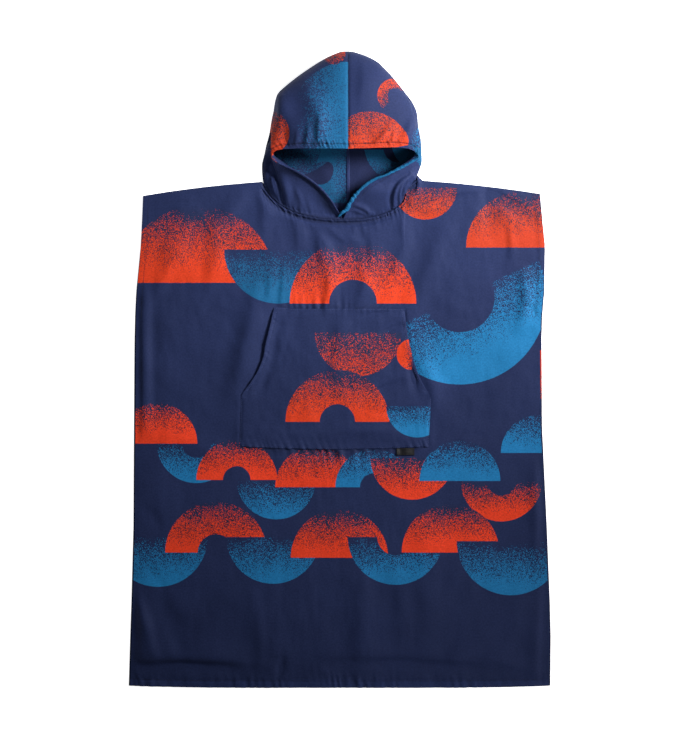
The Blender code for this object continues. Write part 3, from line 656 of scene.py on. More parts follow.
def neck_relief(x, y, from_top):
    """The neck seam: a groove, the allowance stitched down beside it, its fine pleats and its stitches.

    A ridge runs down from the right neck corner, with a hollow between it and the seam.
    """
    middle_part = near_middle(x)
    from_neck, beside = by_neck(x, y)
    z = 0.0015 * puckered(0.77 * x + 0.64 * y, 0.0058, 3.3) * bell(from_neck - 0.0036, 0.0030)
    z -= (0.0018 - 0.0009 * middle_part) * bell(from_neck, 0.0018)
    z -= (0.0010 + 0.0036 * middle_part) * bell(from_neck - 0.0095, 0.0045)
    z += stitch_pull(from_neck - NECK_STITCH, x + 0.25 * y, 0.0080, 0.8, 0.00170, 0.0065, 0.0, 0.0018)
    ridge = bell(x - 0.1525 + 0.12 * (0.376 - y), 0.0042) * eased((y - 0.338) / 0.014)
    puckers = 0.0003 * puckered(x, 0.019, 4.0) * np.exp(-from_top / 0.010) * (1 - beside)
    return z * beside + 0.0050 * ridge * (1 - np.exp(-from_top / 0.004)) + puckers


def pocket_relief(x, y):
    """The pocket's seams in the front: ridges by its uprights, a groove by its right mouth, and gathers.

    The gathers are strongest in the middle, over the top seam and under the foot seam.
    """
    left, right = pocket_side(y, 2), pocket_side(y, 3)
    upright = eased((MOUTH_FOOT - y) / 0.006) * eased((y - POCKET_FOOT + 0.001) / 0.006)
    beside_mouth = eased((y - MOUTH_FOOT - 0.002) / 0.006) * eased((POCKET_TOP - y) / 0.006)
    z = 0.0009 * bell(x - left + 0.0030, 0.0022, 0.0080) * upright
    z += 0.0007 * bell(x - right - 0.0024, 0.0060, 0.0016) * upright
    z -= 0.0016 * bell(x - right - 0.0004, 0.0018, 0.0050) * beside_mouth
    above, below = y - pocket_top(x), pocket_foot(x) - y
    gather = 0.0030 * puckered(x, *TOP_GATHERS) * (0.4 + 0.6 * flat_bell(x + 0.035, 0.055))
    z += gather * np.exp(-np.abs(above) / 0.011) * (above > 0) * eased((TOP_REACH - np.abs(x)) / 0.02)
    gather = 0.0040 * puckered(x + 0.15 * y, *FOOT_GATHERS) * (0.45 + 0.55 * flat_bell(x + 0.040, 0.075))
    near = eased((FOOT_REACH - np.abs(x - FOOT_MIDDLE)) / 0.03)
    return z + gather * np.exp(-np.abs(below) / 0.015) * (below > 0) * near


def front_top(x, y):
    """Height of the front panel's face over the floor.

    It is low at the sewn sides and afloat inside, with its drape, and it climbs to the
    neckline and drops to the hem. Its edges, the neck seam and the pocket's seams add relief.
    """
    edge = upper_edge(np.linspace(0, 3, 1200), FRONT_NECK)
    from_top = np.maximum(np.interp(x, edge[:, 0], edge[:, 1]) - y, 0)
    from_side = np.minimum(x - side_edge(y, 2), side_edge(y, 3) - x)
    from_hem = y - hem_edge(x / HEM_HALF_WIDTH)
    afloat = PUFF * (1 - np.exp(-from_side / 0.025)) * (1 - 0.6 * np.exp(-from_hem / 0.06))
    c = np.linspace(1, 2, 400)
    share = np.interp(x, upper_edge(c, FRONT_NECK)[:, 0], 1 - np.abs(c - 1.5) * 2, left=0, right=0)
    rim_neck = NECK_MIDDLE_TOP + (NECK_CORNER_TOP - NECK_MIDDLE_TOP) * (1 - share) ** 2
    past_corner = np.maximum(np.abs(x) + NECK_CORNERS[0][0], 0)
    rim_shoulder = SEWN_LOW + (NECK_CORNER_TOP - SEWN_LOW) * np.exp(-past_corner / 0.045)
    rim = np.where(share > 0, rim_neck, rim_shoulder)
    middle_part = near_middle(x)
    soft = afloat + front_drape(x, y, from_side)
    z = SEWN_LOW + soft * (1 - np.exp(-from_top / (0.010 + 0.012 * middle_part)))
    z += (rim - SEWN_LOW) * np.exp(-from_top / (0.050 - 0.030 * middle_part))
    z += hem_relief(x, y, from_side, from_hem) + neck_relief(x, y, from_top) + pocket_relief(x, y)
    return np.maximum(z, SEWN_LOW + 0.0002)


def front_painted_shading(x, y):
    """Painted shading on the front: painted shade in bells across the seams, in a band below the neck seam
    and in the pocket's gathers.

    Painted light on the hem's turned edge.
    """
    from_neck, beside = by_neck(x, y)
    band = eased(from_neck / 0.002) * eased((0.0120 - from_neck) / 0.003)
    band *= (0.10 + 0.14 * near_middle(x, 0.075)) * (1 + 0.35 * puckered(x + 0.5 * y, 0.0062, 3.3))
    # Painted shade along the neck seam and in a band below it.
    painted_shading = (band + (0.45 - 0.27 * near_middle(x)) * bell(from_neck, 0.0020)) * beside
    from_hem = y - hem_edge(x / HEM_HALF_WIDTH)
    painted_shading += 0.25 * bell(from_hem - HEM_DEPTH + HEM_STITCH, 0.0016)
    # Painted light on the hem's turned edge.
    painted_shading -= 0.30 * turned(from_hem, HEM_DEPTH, 0.0020) * (1 + 0.8 * puckered(x, *HEM_PUCKERS))
    # Painted shade in the gathers over the pocket's top and under its foot.
    for off, room, depth, reach, gathers in (
        (y - pocket_top(x), TOP_REACH - np.abs(x), 0.28, 0.004, TOP_GATHERS),
        (pocket_foot(x) - y, FOOT_REACH - np.abs(x - FOOT_MIDDLE), 0.30, 0.006, FOOT_GATHERS),
    ):
        near = (off > -0.001) * eased(room / 0.02)
        painted_shading += depth * np.exp(-np.abs(off) / reach) * near * (1 + 0.6 * puckered(x, *gathers))
    return painted_shading


FRONT_MOTIFS = (
    # name, ink, x, y, radius, turn, cut, hole, solid, bare
    # Some shoulder motifs take the darker inks, painted shade where the key light is stronger.
    ("left shoulder sun", ORANGE, -0.272, 0.168, 0.148, 0, 0.0, 0.0, 0.10, 1.00),
    ("left shoulder bowl", BLUE_PAINTED_DARK, -0.118, 0.232, 0.104, 180, 0.0, 0.0, 0.85, -0.05),
    ("chest sun", ORANGE, 0.026, 0.128, 0.122, 0, 0.0, 0.0, 0.05, 0.95),
    ("chest ring", NAVY, 0.026, 0.128, 0.046, 0, 0.0, 0.0, 0.0, 1.0),
    ("right chest bow", BLUE, 0.232, 0.140, 0.168, 205, 0.0, 0.40, 0.70, -0.15),
    ("right shoulder sun", ORANGE_PAINTED_DARK, 0.352, 0.236, 0.108, 0, 0.0, 0.0, 0.15, 1.05),
    ("neck spray", ORANGE_PAINTED_DARK, 0.165, 0.352, 0.062, 180, 0.0, 0.0, 1.1, -0.2),
    # The waist and lower rows take the brighter inks, painted light where the key light is weaker.
    ("waist sun one", ORANGE_PAINTED_LIGHT, -0.352, -0.142, 0.078, 0, 0.0, 0.0, 0.2, 1.1),
    ("waist bowl one", BLUE_PAINTED_LIGHT, -0.276, -0.142, 0.076, 180, 0.0, 0.36, 0.9, -0.1),
    ("waist sun two", ORANGE_PAINTED_LIGHT, -0.198, -0.212, 0.078, 0, 0.0, 0.34, 0.1, 1.05),
    ("waist bowl two", BLUE_PAINTED_LIGHT, -0.122, -0.212, 0.076, 180, 0.0, 0.0, 0.95, -0.05),
    ("waist sun three", ORANGE_PAINTED_LIGHT, -0.044, -0.226, 0.080, 0, 0.0, 0.0, 0.1, 1.0),
    ("waist sun four", BLUE_PAINTED_LIGHT, 0.066, -0.226, 0.074, 0, 0.0, 0.36, 0.1, 1.1),
    ("waist bowl three", ORANGE_PAINTED_LIGHT, 0.140, -0.170, 0.080, 180, 0.0, 0.0, 0.95, -0.1),
    ("waist sun five", BLUE_PAINTED_LIGHT, 0.232, -0.214, 0.078, 0, 0.0, 0.0, 0.15, 1.05),
    ("waist bowl four", ORANGE_PAINTED_LIGHT, 0.312, -0.214, 0.078, 180, 0.0, 0.36, 0.85, 0.0),
    ("waist sun six", BLUE_PAINTED_LIGHT, 0.385, -0.160, 0.074, 0, 0.0, 0.0, 0.1, 1.1),
    ("lower bowl one", BLUE_PAINTED_LIGHT, -0.350, -0.322, 0.096, 180, 0.0, 0.0, 0.9, -0.1),
    ("lower sun one", ORANGE_PAINTED_LIGHT, -0.238, -0.352, 0.098, 0, 0.0, 0.36, 0.1, 1.05),
    ("lower bowl two", BLUE_PAINTED_LIGHT, -0.128, -0.322, 0.090, 180, 0.0, 0.0, 0.95, -0.1),
    ("lower sun two", ORANGE_PAINTED_LIGHT, 0.000, -0.362, 0.094, 0, 0.0, 0.0, 0.1, 1.0),
    ("lower bowl three", BLUE_PAINTED_LIGHT, 0.108, -0.322, 0.092, 180, 0.0, 0.38, 0.9, 0.0),
    ("lower sun three", ORANGE_PAINTED_LIGHT, 0.214, -0.352, 0.094, 0, 0.0, 0.0, 0.15, 1.0),
    ("lower bowl four", BLUE_PAINTED_LIGHT, 0.330, -0.330, 0.104, 180, 0.0, 0.0, 0.9, -0.05),
)

columns = spaced((0, 0.06, 9), (0.06, 1, 63), (1, 2, 180), (2, 2.94, 63), (2.94, 3, 9))
depths = spaced(
    (0, 0.022, 20), (0.022, 0.05, 8), (0.05, 0.22, 26), (0.22, 0.27, 10), (0.27, 0.49, 24), (0.49, 0.54, 12),
    (0.54, 0.93, 32), (0.93, 1, 20),
)
front_x, front_y = body_plan(columns, depths, FRONT_NECK, 0.0)
front_z = front_top(front_x, front_y)
# Painted shade and painted light for the front's colour.
nap_and_painted_shading = front_painted_shading(front_x, front_y)
front = laid_cloth("front_cloth_piece", front_x, front_y, front_z, front_z - CLOTH, painted_shading=nap_and_painted_shading)
front.data.materials.append(printed_towelling("front towelling", FRONT_MOTIFS))
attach(front, "root")
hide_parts("front_panel")


STITCH_PITCH, STITCH_LENGTH = 0.0036, 0.0028
BEAD_RINGS, BEAD_SIDES = 5, 6


def thread_finish(name, colour):
    """Sewing thread: a twisted yarn whose colour wavers at random between darker and lighter, with a dull
    shine.
    """
    finish, tree, sockets = new_finish(name, 0.25)
    place = step(tree, "ShaderNodeTexCoord", output=3)
    twist = ranged(tree, noise(tree, place, 0.0006, 2.0), 0.3, 0.7)
    darker, lighter = ((*(share * c for c in colour), 1) for share in (0.7, 1.4))
    tree.links.new(mixed(tree, twist, darker, lighter), sockets["Base Color"])
    tree.links.new(ranged(tree, twist, 0, 1, 0.80, 0.65), sockets["Roughness"])
    return finish


def resampled(rows, given_s, s):
    """Rows of three numbers, known at lengths given_s, as straight lines between them have it at s."""
    return np.stack([np.interp(s, given_s, rows[:, k]) for k in range(3)], -1)


def stitch_rows(name, rows, finish, thick=0.00045):
    """Sewn stitches joined in one mesh: each is a bead whose middle stands on the cloth and whose ends dip.

    A row is a pair of arrays, its places and the cloth's outward directions there. Stitch
    k is centred at the arc length (k + 1/2) pitch. Round its own line from end to end, a
    bead is a circle whose radius, like its lift, goes as the sine of the way along.
    """
    u = np.linspace(0.06, 0.94, BEAD_RINGS)[:, None, None]
    around = (np.arange(BEAD_SIDES) / BEAD_SIDES * 2 * np.pi)[:, None]
    wave = np.sin(np.pi * u)
    beads = []
    for places, outward_way in rows:
        s = arc_lengths(places)
        middle = np.arange(int(s[-1] / STITCH_PITCH)) * STITCH_PITCH + STITCH_PITCH / 2
        first, last = (resampled(places, s, middle + end) for end in (-STITCH_LENGTH / 2, STITCH_LENGTH / 2))
        way = unit(last - first)
        up = resampled(outward_way, s, middle)
        up = unit(up - way * np.sum(up * way, axis=1, keepdims=True))
        first, last, way, up = (each[:, None, None] for each in (first, last, way, up))
        ring = np.cos(around) * up + np.sin(around) * np.cross(way, up)
        lifted = first + (last - first) * u + up * thick * (1.3 * wave - 0.5)
        beads.append((lifted + ring * thick * (0.35 + 0.65 * wave)).reshape(-1, 3))
    points = np.concatenate(beads)
    corner = np.arange(len(points)).reshape(-1, BEAD_RINGS, BEAD_SIDES)
    beyond = np.roll(corner, -1, axis=2)
    sides = np.stack([corner[:, :-1], beyond[:, :-1], beyond[:, 1:], corner[:, 1:]], -1).reshape(-1, 4)
    caps = np.concatenate([corner[:, 0, ::-1], corner[:, -1]])
    mesh = bpy.data.meshes.new(name)
    mesh.from_pydata(points, [], sides.tolist() + caps.tolist())
    mesh.shade_smooth()
    mesh.materials.append(finish)
    made = placed(name, mesh)
    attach(made, "root")
    return made


def row_on(x, y, z):
    """A row for stitch_rows on cloth that faces up."""
    return np.stack([x, y, z], -1), np.broadcast_to((0.0, 0.0, 1.0), x.shape + (3,))


hem_x = np.linspace(-0.398, 0.398, 400)
arm_y = np.linspace(UNDERARM_Y + 0.002, 0.334, 120)
inset = ARM_HEM - HEM_STITCH
neck_way = unit(np.gradient(NECK_SEAM, axis=0))
neck_row = (NECK_SEAM + np.stack([neck_way[:, 1], -neck_way[:, 0]], -1) * NECK_STITCH)[3:-3]
rows = (
    (hem_x, hem_edge(hem_x / HEM_HALF_WIDTH) + HEM_DEPTH - HEM_STITCH),
    (side_edge(arm_y, 2) + inset, arm_y),
    (side_edge(arm_y, 3) - inset, arm_y),
    (neck_row[:, 0], neck_row[:, 1]),
)
THREAD = thread_finish("navy thread", (0.006, 0.009, 0.030))
front_stitches = stitch_rows("front_stitches", [row_on(x, y, front_top(x, y)) for x, y in rows], THREAD)


# Hood.
# Two like halves of the same towelling, joined by one seam over the crown and down the
# back, and sewn into the neckline. The face opening's edge is turned and stitched. It lies
# on its back, half open, with its front edge standing highest.

HOOD_HEM = 0.0100
EDGE_STITCH = 0.0010  # from a narrow hem's inner edge to its stitch line
HOOD_SIDES = {
    "left": (
        # t, edge x, y, z, fold x, y, z, back y
        (0.00, 0.0068, 0.2905, 0.0075, -0.1478, 0.3645, 0.0018, 0.3223),
        (0.16, -0.0190, 0.3288, 0.0210, -0.1491, 0.3813, 0.0070, 0.3470),
        (0.33, -0.0480, 0.3580, 0.0310, -0.1488, 0.3967, 0.0130, 0.3740),
        (0.48, -0.0869, 0.3831, 0.0390, -0.1455, 0.4096, 0.0175, 0.3957),
        (0.58, -0.1192, 0.3991, 0.0450, -0.1430, 0.4195, 0.0200, 0.4110),
        (0.64, -0.1292, 0.4085, 0.0490, -0.1406, 0.4308, 0.0215, 0.4246),
        (0.70, -0.1200, 0.4180, 0.0545, -0.1348, 0.4524, 0.0225, 0.4380),
        (0.78, -0.0852, 0.4204, 0.0630, -0.1279, 0.4907, 0.0225, 0.4555),
        (0.86, -0.0513, 0.4200, 0.0700, -0.1130, 0.5340, 0.0205, 0.4748),
        (0.93, -0.0177, 0.4197, 0.0740, -0.0665, 0.5740, 0.0175, 0.4960),
        (0.97, 0.0019, 0.4195, 0.0752, -0.0312, 0.5960, 0.0160, 0.5105),
        (0.985, 0.0093, 0.4194, 0.0756, -0.0122, 0.6054, 0.0155, 0.5157),
        (0.995, 0.0142, 0.4193, 0.0759, 0.0045, 0.6114, 0.0151, 0.5192),
        (1.00, 0.0166, 0.4193, 0.0760, 0.0166, 0.6130, 0.0150, 0.5210),
    ),
    "right": (
        # t, edge x, y, z, fold x, y, z, back y
        (0.00, 0.0068, 0.2905, 0.0075, 0.1498, 0.3757, 0.0018, 0.3223),
        (0.16, 0.0286, 0.3297, 0.0210, 0.1538, 0.3844, 0.0080, 0.3470),
        (0.33, 0.0579, 0.3581, 0.0320, 0.1584, 0.4009, 0.0130, 0.3740),
        (0.48, 0.0994, 0.3800, 0.0400, 0.1578, 0.4152, 0.0175, 0.3957),
        (0.58, 0.1331, 0.3974, 0.0450, 0.1573, 0.4280, 0.0200, 0.4110),
        (0.64, 0.1500, 0.4088, 0.0490, 0.1558, 0.4450, 0.0215, 0.4246),
        (0.70, 0.1400, 0.4186, 0.0545, 0.1517, 0.4659, 0.0225, 0.4380),
        (0.78, 0.1133, 0.4225, 0.0630, 0.1471, 0.4984, 0.0225, 0.4555),
        (0.86, 0.0812, 0.4218, 0.0700, 0.1300, 0.5275, 0.0205, 0.4748),
        (0.93, 0.0475, 0.4205, 0.0740, 0.0900, 0.5745, 0.0175, 0.4960),
        (0.97, 0.0307, 0.4199, 0.0752, 0.0644, 0.5960, 0.0160, 0.5105),
        (0.985, 0.0236, 0.4196, 0.0756, 0.0445, 0.6054, 0.0155, 0.5157),
        (0.995, 0.0190, 0.4194, 0.0759, 0.0280, 0.6113, 0.0151, 0.5192),
        (1.00, 0.0166, 0.4193, 0.0760, 0.0166, 0.6130, 0.0150, 0.5210),
    ),
}
HOOD_LIE = {
    # How each half lies: how far its crown's edge droops; how far its flap drops behind the
    # turned edge, over what width, how soon it is up again, and what more it drops by its
    # tip; the width of the raised edge; the groove beside it and the painted shade along that
    # groove; the roll's place past the edge, and its half widths from its foot up.
    "left": {
        "droop": 0.0022, "drop": 0.0052, "fall": 0.0120, "regain": 0.055, "tip drop": 0.0055,
        "raised": 0.0030, "groove": 0.0034, "painted groove shade": 0.55,
        "roll aside": 0.0003, "roll widths": (0.0009, 0.0011, 0.0017, 0.0022, 0.0024, 0.0020),
    },
    "right": {
        "droop": 0.0042, "drop": 0.0016, "fall": 0.0070, "regain": 0.036, "tip drop": 0.0,
        "raised": HOOD_HEM, "groove": 0.0, "painted groove shade": 0.0,
        "roll aside": 0.0017, "roll widths": (0.0042, 0.0034, 0.0024, 0.0030, 0.0034, 0.0026, 0.0021),
    },
}
FLAP_STRAIGHT_T = 0.45  # a row's plan curves with the neckline at t = 0, and is straight from here up
CRISP_T = 0.30  # a row's section is a crisp fold at t = 0, and a round one from here up
TURN_SHARE = 0.9  # of the fold's height, for the radius of the turn behind it
HOOD_TURN_STEPS, HOOD_BACK_STEPS = 10, 22
FIRST_FRONT = HOOD_TURN_STEPS + HOOD_BACK_STEPS  # column of the side fold
FRONT_SHARES = spaced((0, 0.90, 72), (0.90, 1, 22))  # finer over the turned edge
SEAM_X = BACK_NECK[1][0]
HALVES_GAP = 0.00008  # between the hood's halves, which meet in the seam
FLAP_TOP_T = 0.64  # where the flap ends and the crown's edge begins
ROLL_T, STITCHED_T = (0.03, 0.655), (0.06, 0.995)  # where the roll and the opening's stitches begin and end

HOOD_FOLDS = (
    # name, x and y of one end, x and y of the other, bow, width right or above, width left or below, height
    ("left flap deep crease", -0.1360, 0.3950, -0.1110, 0.3230, 0.0030, 0.0042, 0.0030, -0.0080),
    ("left flap shoulder hollow", -0.1400, 0.4060, -0.1375, 0.3640, 0.0000, 0.0110, 0.0035, -0.0080),
    ("left flap wisp", -0.139, 0.379, -0.1255, 0.341, 0.000, 0.003, 0.003, 0.0028),
    ("left flap ridge", -0.1130, 0.3793, -0.0960, 0.3240, 0.0000, 0.0110, 0.0075, 0.0034),
    ("left flap trough", -0.0930, 0.3470, -0.0900, 0.3110, 0.0000, 0.0065, 0.0065, -0.0020),
    ("left flap streak", -0.0815, 0.3400, -0.0730, 0.3080, 0.0020, 0.0060, 0.0040, 0.0020),
    ("left flap low streak", -0.0620, 0.3260, -0.0560, 0.3040, 0.0000, 0.0070, 0.0045, 0.0014),
    ("right flap shoulder", 0.043, 0.339, 0.087, 0.3445, 0.002, 0.011, 0.015, 0.0045),
    ("right flap first arc", 0.1350, 0.3730, 0.1050, 0.3120, -0.0127, 0.0055, 0.0032, 0.0048),
    ("right flap second arc", 0.1395, 0.3695, 0.1165, 0.3180, -0.0115, 0.0042, 0.0032, 0.0056),
    ("right flap outer dent", 0.1322, 0.3758, 0.1000, 0.3084, -0.0155, 0.0030, 0.0060, -0.0026),
    ("right flap third arc", 0.1385, 0.3690, 0.1240, 0.3240, -0.0095, 0.0030, 0.0028, -0.0050),
    ("right neck fan, upper", 0.018, 0.320, 0.066, 0.295, 0.0045, 0.005, 0.004, 0.0036),
    ("right neck fan, lower", 0.020, 0.3085, 0.0546, 0.295, 0.002, 0.003, 0.003, 0.0025),
    ("left side layer", -0.1345, 0.470, -0.1345, 0.398, 0.000, 0.0016, 0.0050, -0.0075),
    ("right side layer, upper", 0.131, 0.528, 0.1465, 0.474, 0.002, 0.0040, 0.0018, -0.0034),
    ("right side layer, lower", 0.1465, 0.474, 0.1515, 0.414, 0.000, 0.0040, 0.0018, -0.0039),
    ("left crown side swell", -0.1134, 0.5184, -0.112, 0.4727, 0.002, 0.017, 0.008, 0.0048),
    ("left crown dent", -0.106, 0.465, -0.105, 0.4288, 0.000, 0.010, 0.010, -0.0039),
    ("left crown drape", -0.0562, 0.524, -0.0333, 0.4479, 0.004, 0.020, 0.020, 0.0056),
    ("left crown streak one", -0.060, 0.4574, -0.064, 0.425, 0.001, 0.007, 0.004, 0.0035),
    ("left crown streak two", -0.0381, 0.4765, -0.041, 0.4384, 0.000, 0.010, 0.004, 0.0039),
    ("left crown streak three", -0.081, 0.448, -0.084, 0.425, 0.001, 0.006, 0.004, 0.0022),
    ("right crown drape", 0.0467, 0.5813, 0.042, 0.5146, 0.002, 0.024, 0.012, 0.0034),
    ("right crown slant", 0.1382, 0.4727, 0.1191, 0.4327, 0.002, 0.009, 0.009, 0.0048),
    ("right crown streak one", 0.0924, 0.4574, 0.0658, 0.427, 0.002, 0.010, 0.006, 0.0039),
    ("right crown streak two", 0.1039, 0.448, 0.0963, 0.425, 0.001, 0.006, 0.004, 0.0034),
    ("right crown hollow", 0.052, 0.455, 0.060, 0.425, 0.000, 0.014, 0.012, -0.0022),
)


def curve_through(knots, values, at):
    """A smooth curve through the knots: cubic pieces that take their slopes from the neighbours."""
    slopes = np.gradient(values, knots)
    i = np.clip(np.searchsorted(knots, at, side="right") - 1, 0, len(knots) - 2)
    span = knots[i + 1] - knots[i]
    u = (at - knots[i]) / span
    start = values[i] * (1 + 2 * u) * (1 - u) ** 2 + values[i + 1] * u * u * (3 - 2 * u)
    return start + span * u * (1 - u) * (slopes[i] * (1 - u) - slopes[i + 1] * u)


def hood_curves(side, t, columns):
    """Columns of a half's table as smooth curves over t, side by side."""
    table = np.array(HOOD_SIDES[side])
    return np.stack([curve_through(table[:, 0], table[:, k], t) for k in columns], -1)


def even_rows(side, rows):
    """Values of t that part a hood half's edge and side fold together into rows of like height."""
    t = np.linspace(0, 1, 1001)
    length = arc_lengths(hood_curves(side, t, range(1, 7)))
    return np.interp(np.linspace(0, length[-1], rows + 1), length, t)


def hood_surface(side, t):
    """Outer face of a hood half, in rows over t from the neckline up to the crown seam.

    A row runs from the back seam round the side fold to the face opening. In front it
    rises from the fold to the opening's edge on a quarter of an oval, and behind it turns
    under on a quarter circle and lies flat to the seam.
    """
    curves = hood_curves(side, t, range(1, 8))
    edge, fold = curves[:, :3], curves[:, 3:6]
    back_seam = np.stack([np.full_like(t, SEAM_X), curves[:, 6]], -1)
    straight = eased(t / FLAP_STRAIGHT_T)[:, None]
    crisp = 1 - eased(t / CRISP_T)[:, None]
    which = 0 if side == "left" else 2

    quarter = FRONT_SHARES[None, :]
    q = quarter * crisp + (1 - np.cos(quarter * np.pi / 2)) * (1 - crisp)
    control = np.array(FRONT_NECK[which]) * (1 - straight) + (edge[:, :2] + fold[:, :2]) / 2 * straight
    plan = bend(fold[:, None, :2], control[:, None], edge[:, None, :2], q)
    if side == "right":
        plan[..., 0] -= drawn_in(plan[..., 1]) * bell(t[:, None], 0.10)
    power = 2.0 + 6.0 * crisp
    rise = (1 - (1 - q) ** power) ** (1 / power)
    top = edge[:, 2:] + (NECK_CORNER_TOP - edge[:, 2:]) * (1 - q) ** 2 * crisp
    before = np.concatenate([plan, (fold[:, 2:] + (top - fold[:, 2:]) * rise)[..., None]], -1)

    turn = (TURN_SHARE * fold[:, 2] / np.linalg.norm(back_seam - fold[:, :2], axis=1))[:, None]
    angle = np.linspace(0, np.pi / 2, HOOD_TURN_STEPS + 1)[1:]
    flat = turn + (1 - turn) * np.linspace(0, 1, HOOD_BACK_STEPS + 1)[1:]
    share = np.concatenate([turn * (1 - np.cos(angle)), flat], 1)
    control = np.array(BACK_NECK[which]) * (1 - straight) + (back_seam + fold[:, :2]) / 2 * straight
    plan = bend(fold[:, None, :2], control[:, None], back_seam[:, None], share)
    z = np.concatenate([fold[:, 2:] * (1 - np.sin(angle)), np.zeros_like(flat)], 1)
    behind = np.concatenate([plan, z[..., None]], -1)
    return np.concatenate([behind[:, ::-1], before], 1)


def outward(grid, sign):
    """Unit directions out of the hood. On the crown and back seams they stay in the seam's plane.

    Where the hood lies flat on the floor they point straight down.
    """
    normal = np.cross(np.gradient(grid, axis=1), np.gradient(grid, axis=0)) * sign
    normal[-1, :, 0] = 0
    normal[:, 0, 0] = 0
    normal[grid[..., 2] < 1e-6] = (0, 0, -1)
    return unit(normal)


def hood_relief(side, sign, t, grid, from_edge, along_edge):
    """How far a half stands out of its smooth surface, and its painted shade along the seams, the crown's hem
    stitches and the groove behind the turned edge.

    The side of each crown's edge droops a little, and each flap falls away behind its
    turned edge. Folds, slow waves, hems, stitch lines and the two seams are added to that.
    """
    lie = HOOD_LIE[side]
    x, y = grid[..., 0], grid[..., 1]
    from_crown, from_seam = np.abs(x - SEAM_X), from_line(grid, grid[0, FIRST_FRONT:])[0]
    off_stitch = from_edge - HOOD_HEM + EDGE_STITCH
    t = t[:, None]
    crown, low = eased((t - 0.60) / 0.10), eased((FLAP_TOP_T - t) / 0.06)
    flap = 1 - crown

    lift = folded(x, y, HOOD_FOLDS) * eased(from_edge / 0.010)
    lift -= lie["droop"] * crown * bell(from_edge, 0.030)
    drop = (lie["drop"] + lie["tip drop"] * bell(y - 0.312, 0.022)) * flap * eased((0.52 - t) / 0.30)
    lift -= drop * (1 - np.exp(-from_edge / lie["fall"])) * bell(from_edge, lie["regain"])
    lift -= lie["groove"] * bell(from_edge - 0.0052, 0.0024) * flap * low
    lift += HEM_RAISE * flap * turned(from_edge, lie["raised"], 0.0016)
    lift += stitch_pull(off_stitch, along_edge, 0.0086, 0.6 * sign, 0.00170, 0.0070, 0.4 * sign) * crown
    lift += stitch_pull(off_stitch, along_edge, 0.0110, 1.6 * sign, 0.00070, 0.0060, 0.6 * sign) * flap
    lift += 0.0007 * np.sin(43 * x + 19 * y) * np.sin(37 * y - 21 * x + 1) * eased(from_edge / 0.02)
    lift -= 0.0014 * bell(from_crown, 0.0026) * crown
    lift += 0.0006 * puckered(y, 0.015, 1.1 + sign) * np.exp(-from_crown / 0.008) * crown
    lift += 0.0016 * puckered(x + 0.25 * y, 0.0085, 2.4 * sign) * np.exp(-from_seam / 0.009)
    lift += 0.0011 * puckered(x + 0.7 * y, 0.0046, 1.3 * sign) * bell(from_seam - 0.0035, 0.0028)

    # Painted shade along the two seams and the crown's hem stitches, and in the groove behind the flap's
    # turned edge.
    painted_shading = 0.35 * bell(from_seam, 0.0030) + 0.35 * bell(from_crown, 0.0016) * crown
    painted_shading += 0.25 * bell(off_stitch, 0.0014) * crown
    painted_shading += lie["painted groove shade"] * bell(from_edge - 0.0052, 0.0022) * low * eased((t - 0.08) / 0.10) * flap
    return lift, painted_shading


# On each half the side disc in the darkened navy is painted shade over the far side behind the fold and the
# inside; the inside motifs use the darkened blue, also painted shade.
HOOD_MOTIFS = {
    "left": (
        # name, ink, x, y, radius, turn, cut, hole, solid, bare
        ("crown sun", BLUE_PAINTED_DARK, 0.017, 0.480, 0.108, 90, 0.0, 0.0, 0.02, 0.95),
        ("side sun", ORANGE_PAINTED_DARK, -0.142, 0.452, 0.046, 0, -1.0, 0.0, -0.6, 1.2),
        ("painted side shade", NAVY_PAINTED_SHADE, -0.3335, 0.440, 0.2000, 0, -1.0, 0.0, -2.0, -3.0),
        ("apex spray", ORANGE_PAINTED_DARK, -0.010, 0.605, 0.022, 0, -1.0, 0.0, 1.4, -1.5),
        ("inside bowl", BLUE_PAINTED_SHADE, -0.212, 0.445, 0.070, 180, 0.0, 0.0, -0.2, 1.4),
        ("inside sun", ORANGE, -0.262, 0.452, 0.040, 0, 0.0, 0.0, 0.4, 1.6),
        ("inside low bowl", BLUE_PAINTED_SHADE, -0.262, 0.380, 0.075, 90, -0.2, 0.3, -0.1, 1.3),
    ),
    "right": (
        ("crown sun", ORANGE_PAINTED_DARK, 0.058, 0.412, 0.078, 12, 0.0, 0.0, 0.0, 1.5),
        ("crown spray", ORANGE_PAINTED_DARK, 0.108, 0.522, 0.036, 45, 0.0, 0.45, 1.5, -0.3),
        ("painted side shade", NAVY_PAINTED_SHADE, 0.3620, 0.440, 0.2000, 0, -1.0, 0.0, -2.0, -3.0),
        ("side bow", BLUE_PAINTED_DARK, 0.172, 0.430, 0.040, 90, -1.0, 0.3, -0.4, 1.1),
        ("inside sun", BLUE_PAINTED_SHADE, 0.268, 0.452, 0.085, 0, 0.0, 0.0, -0.1, 1.3),
        ("inside bowl", BLUE_PAINTED_SHADE, 0.205, 0.425, 0.060, 180, 0.0, 0.4, 0.1, 1.4),
    ),
}
ROLL_STEP, ROLL_SIDES, ROLL_FLATNESS = 0.0006, 20, 0.65
ROLL_CUT_Y = 0.9  # where the rolls' cloth lies on the map, past all the panels' motifs


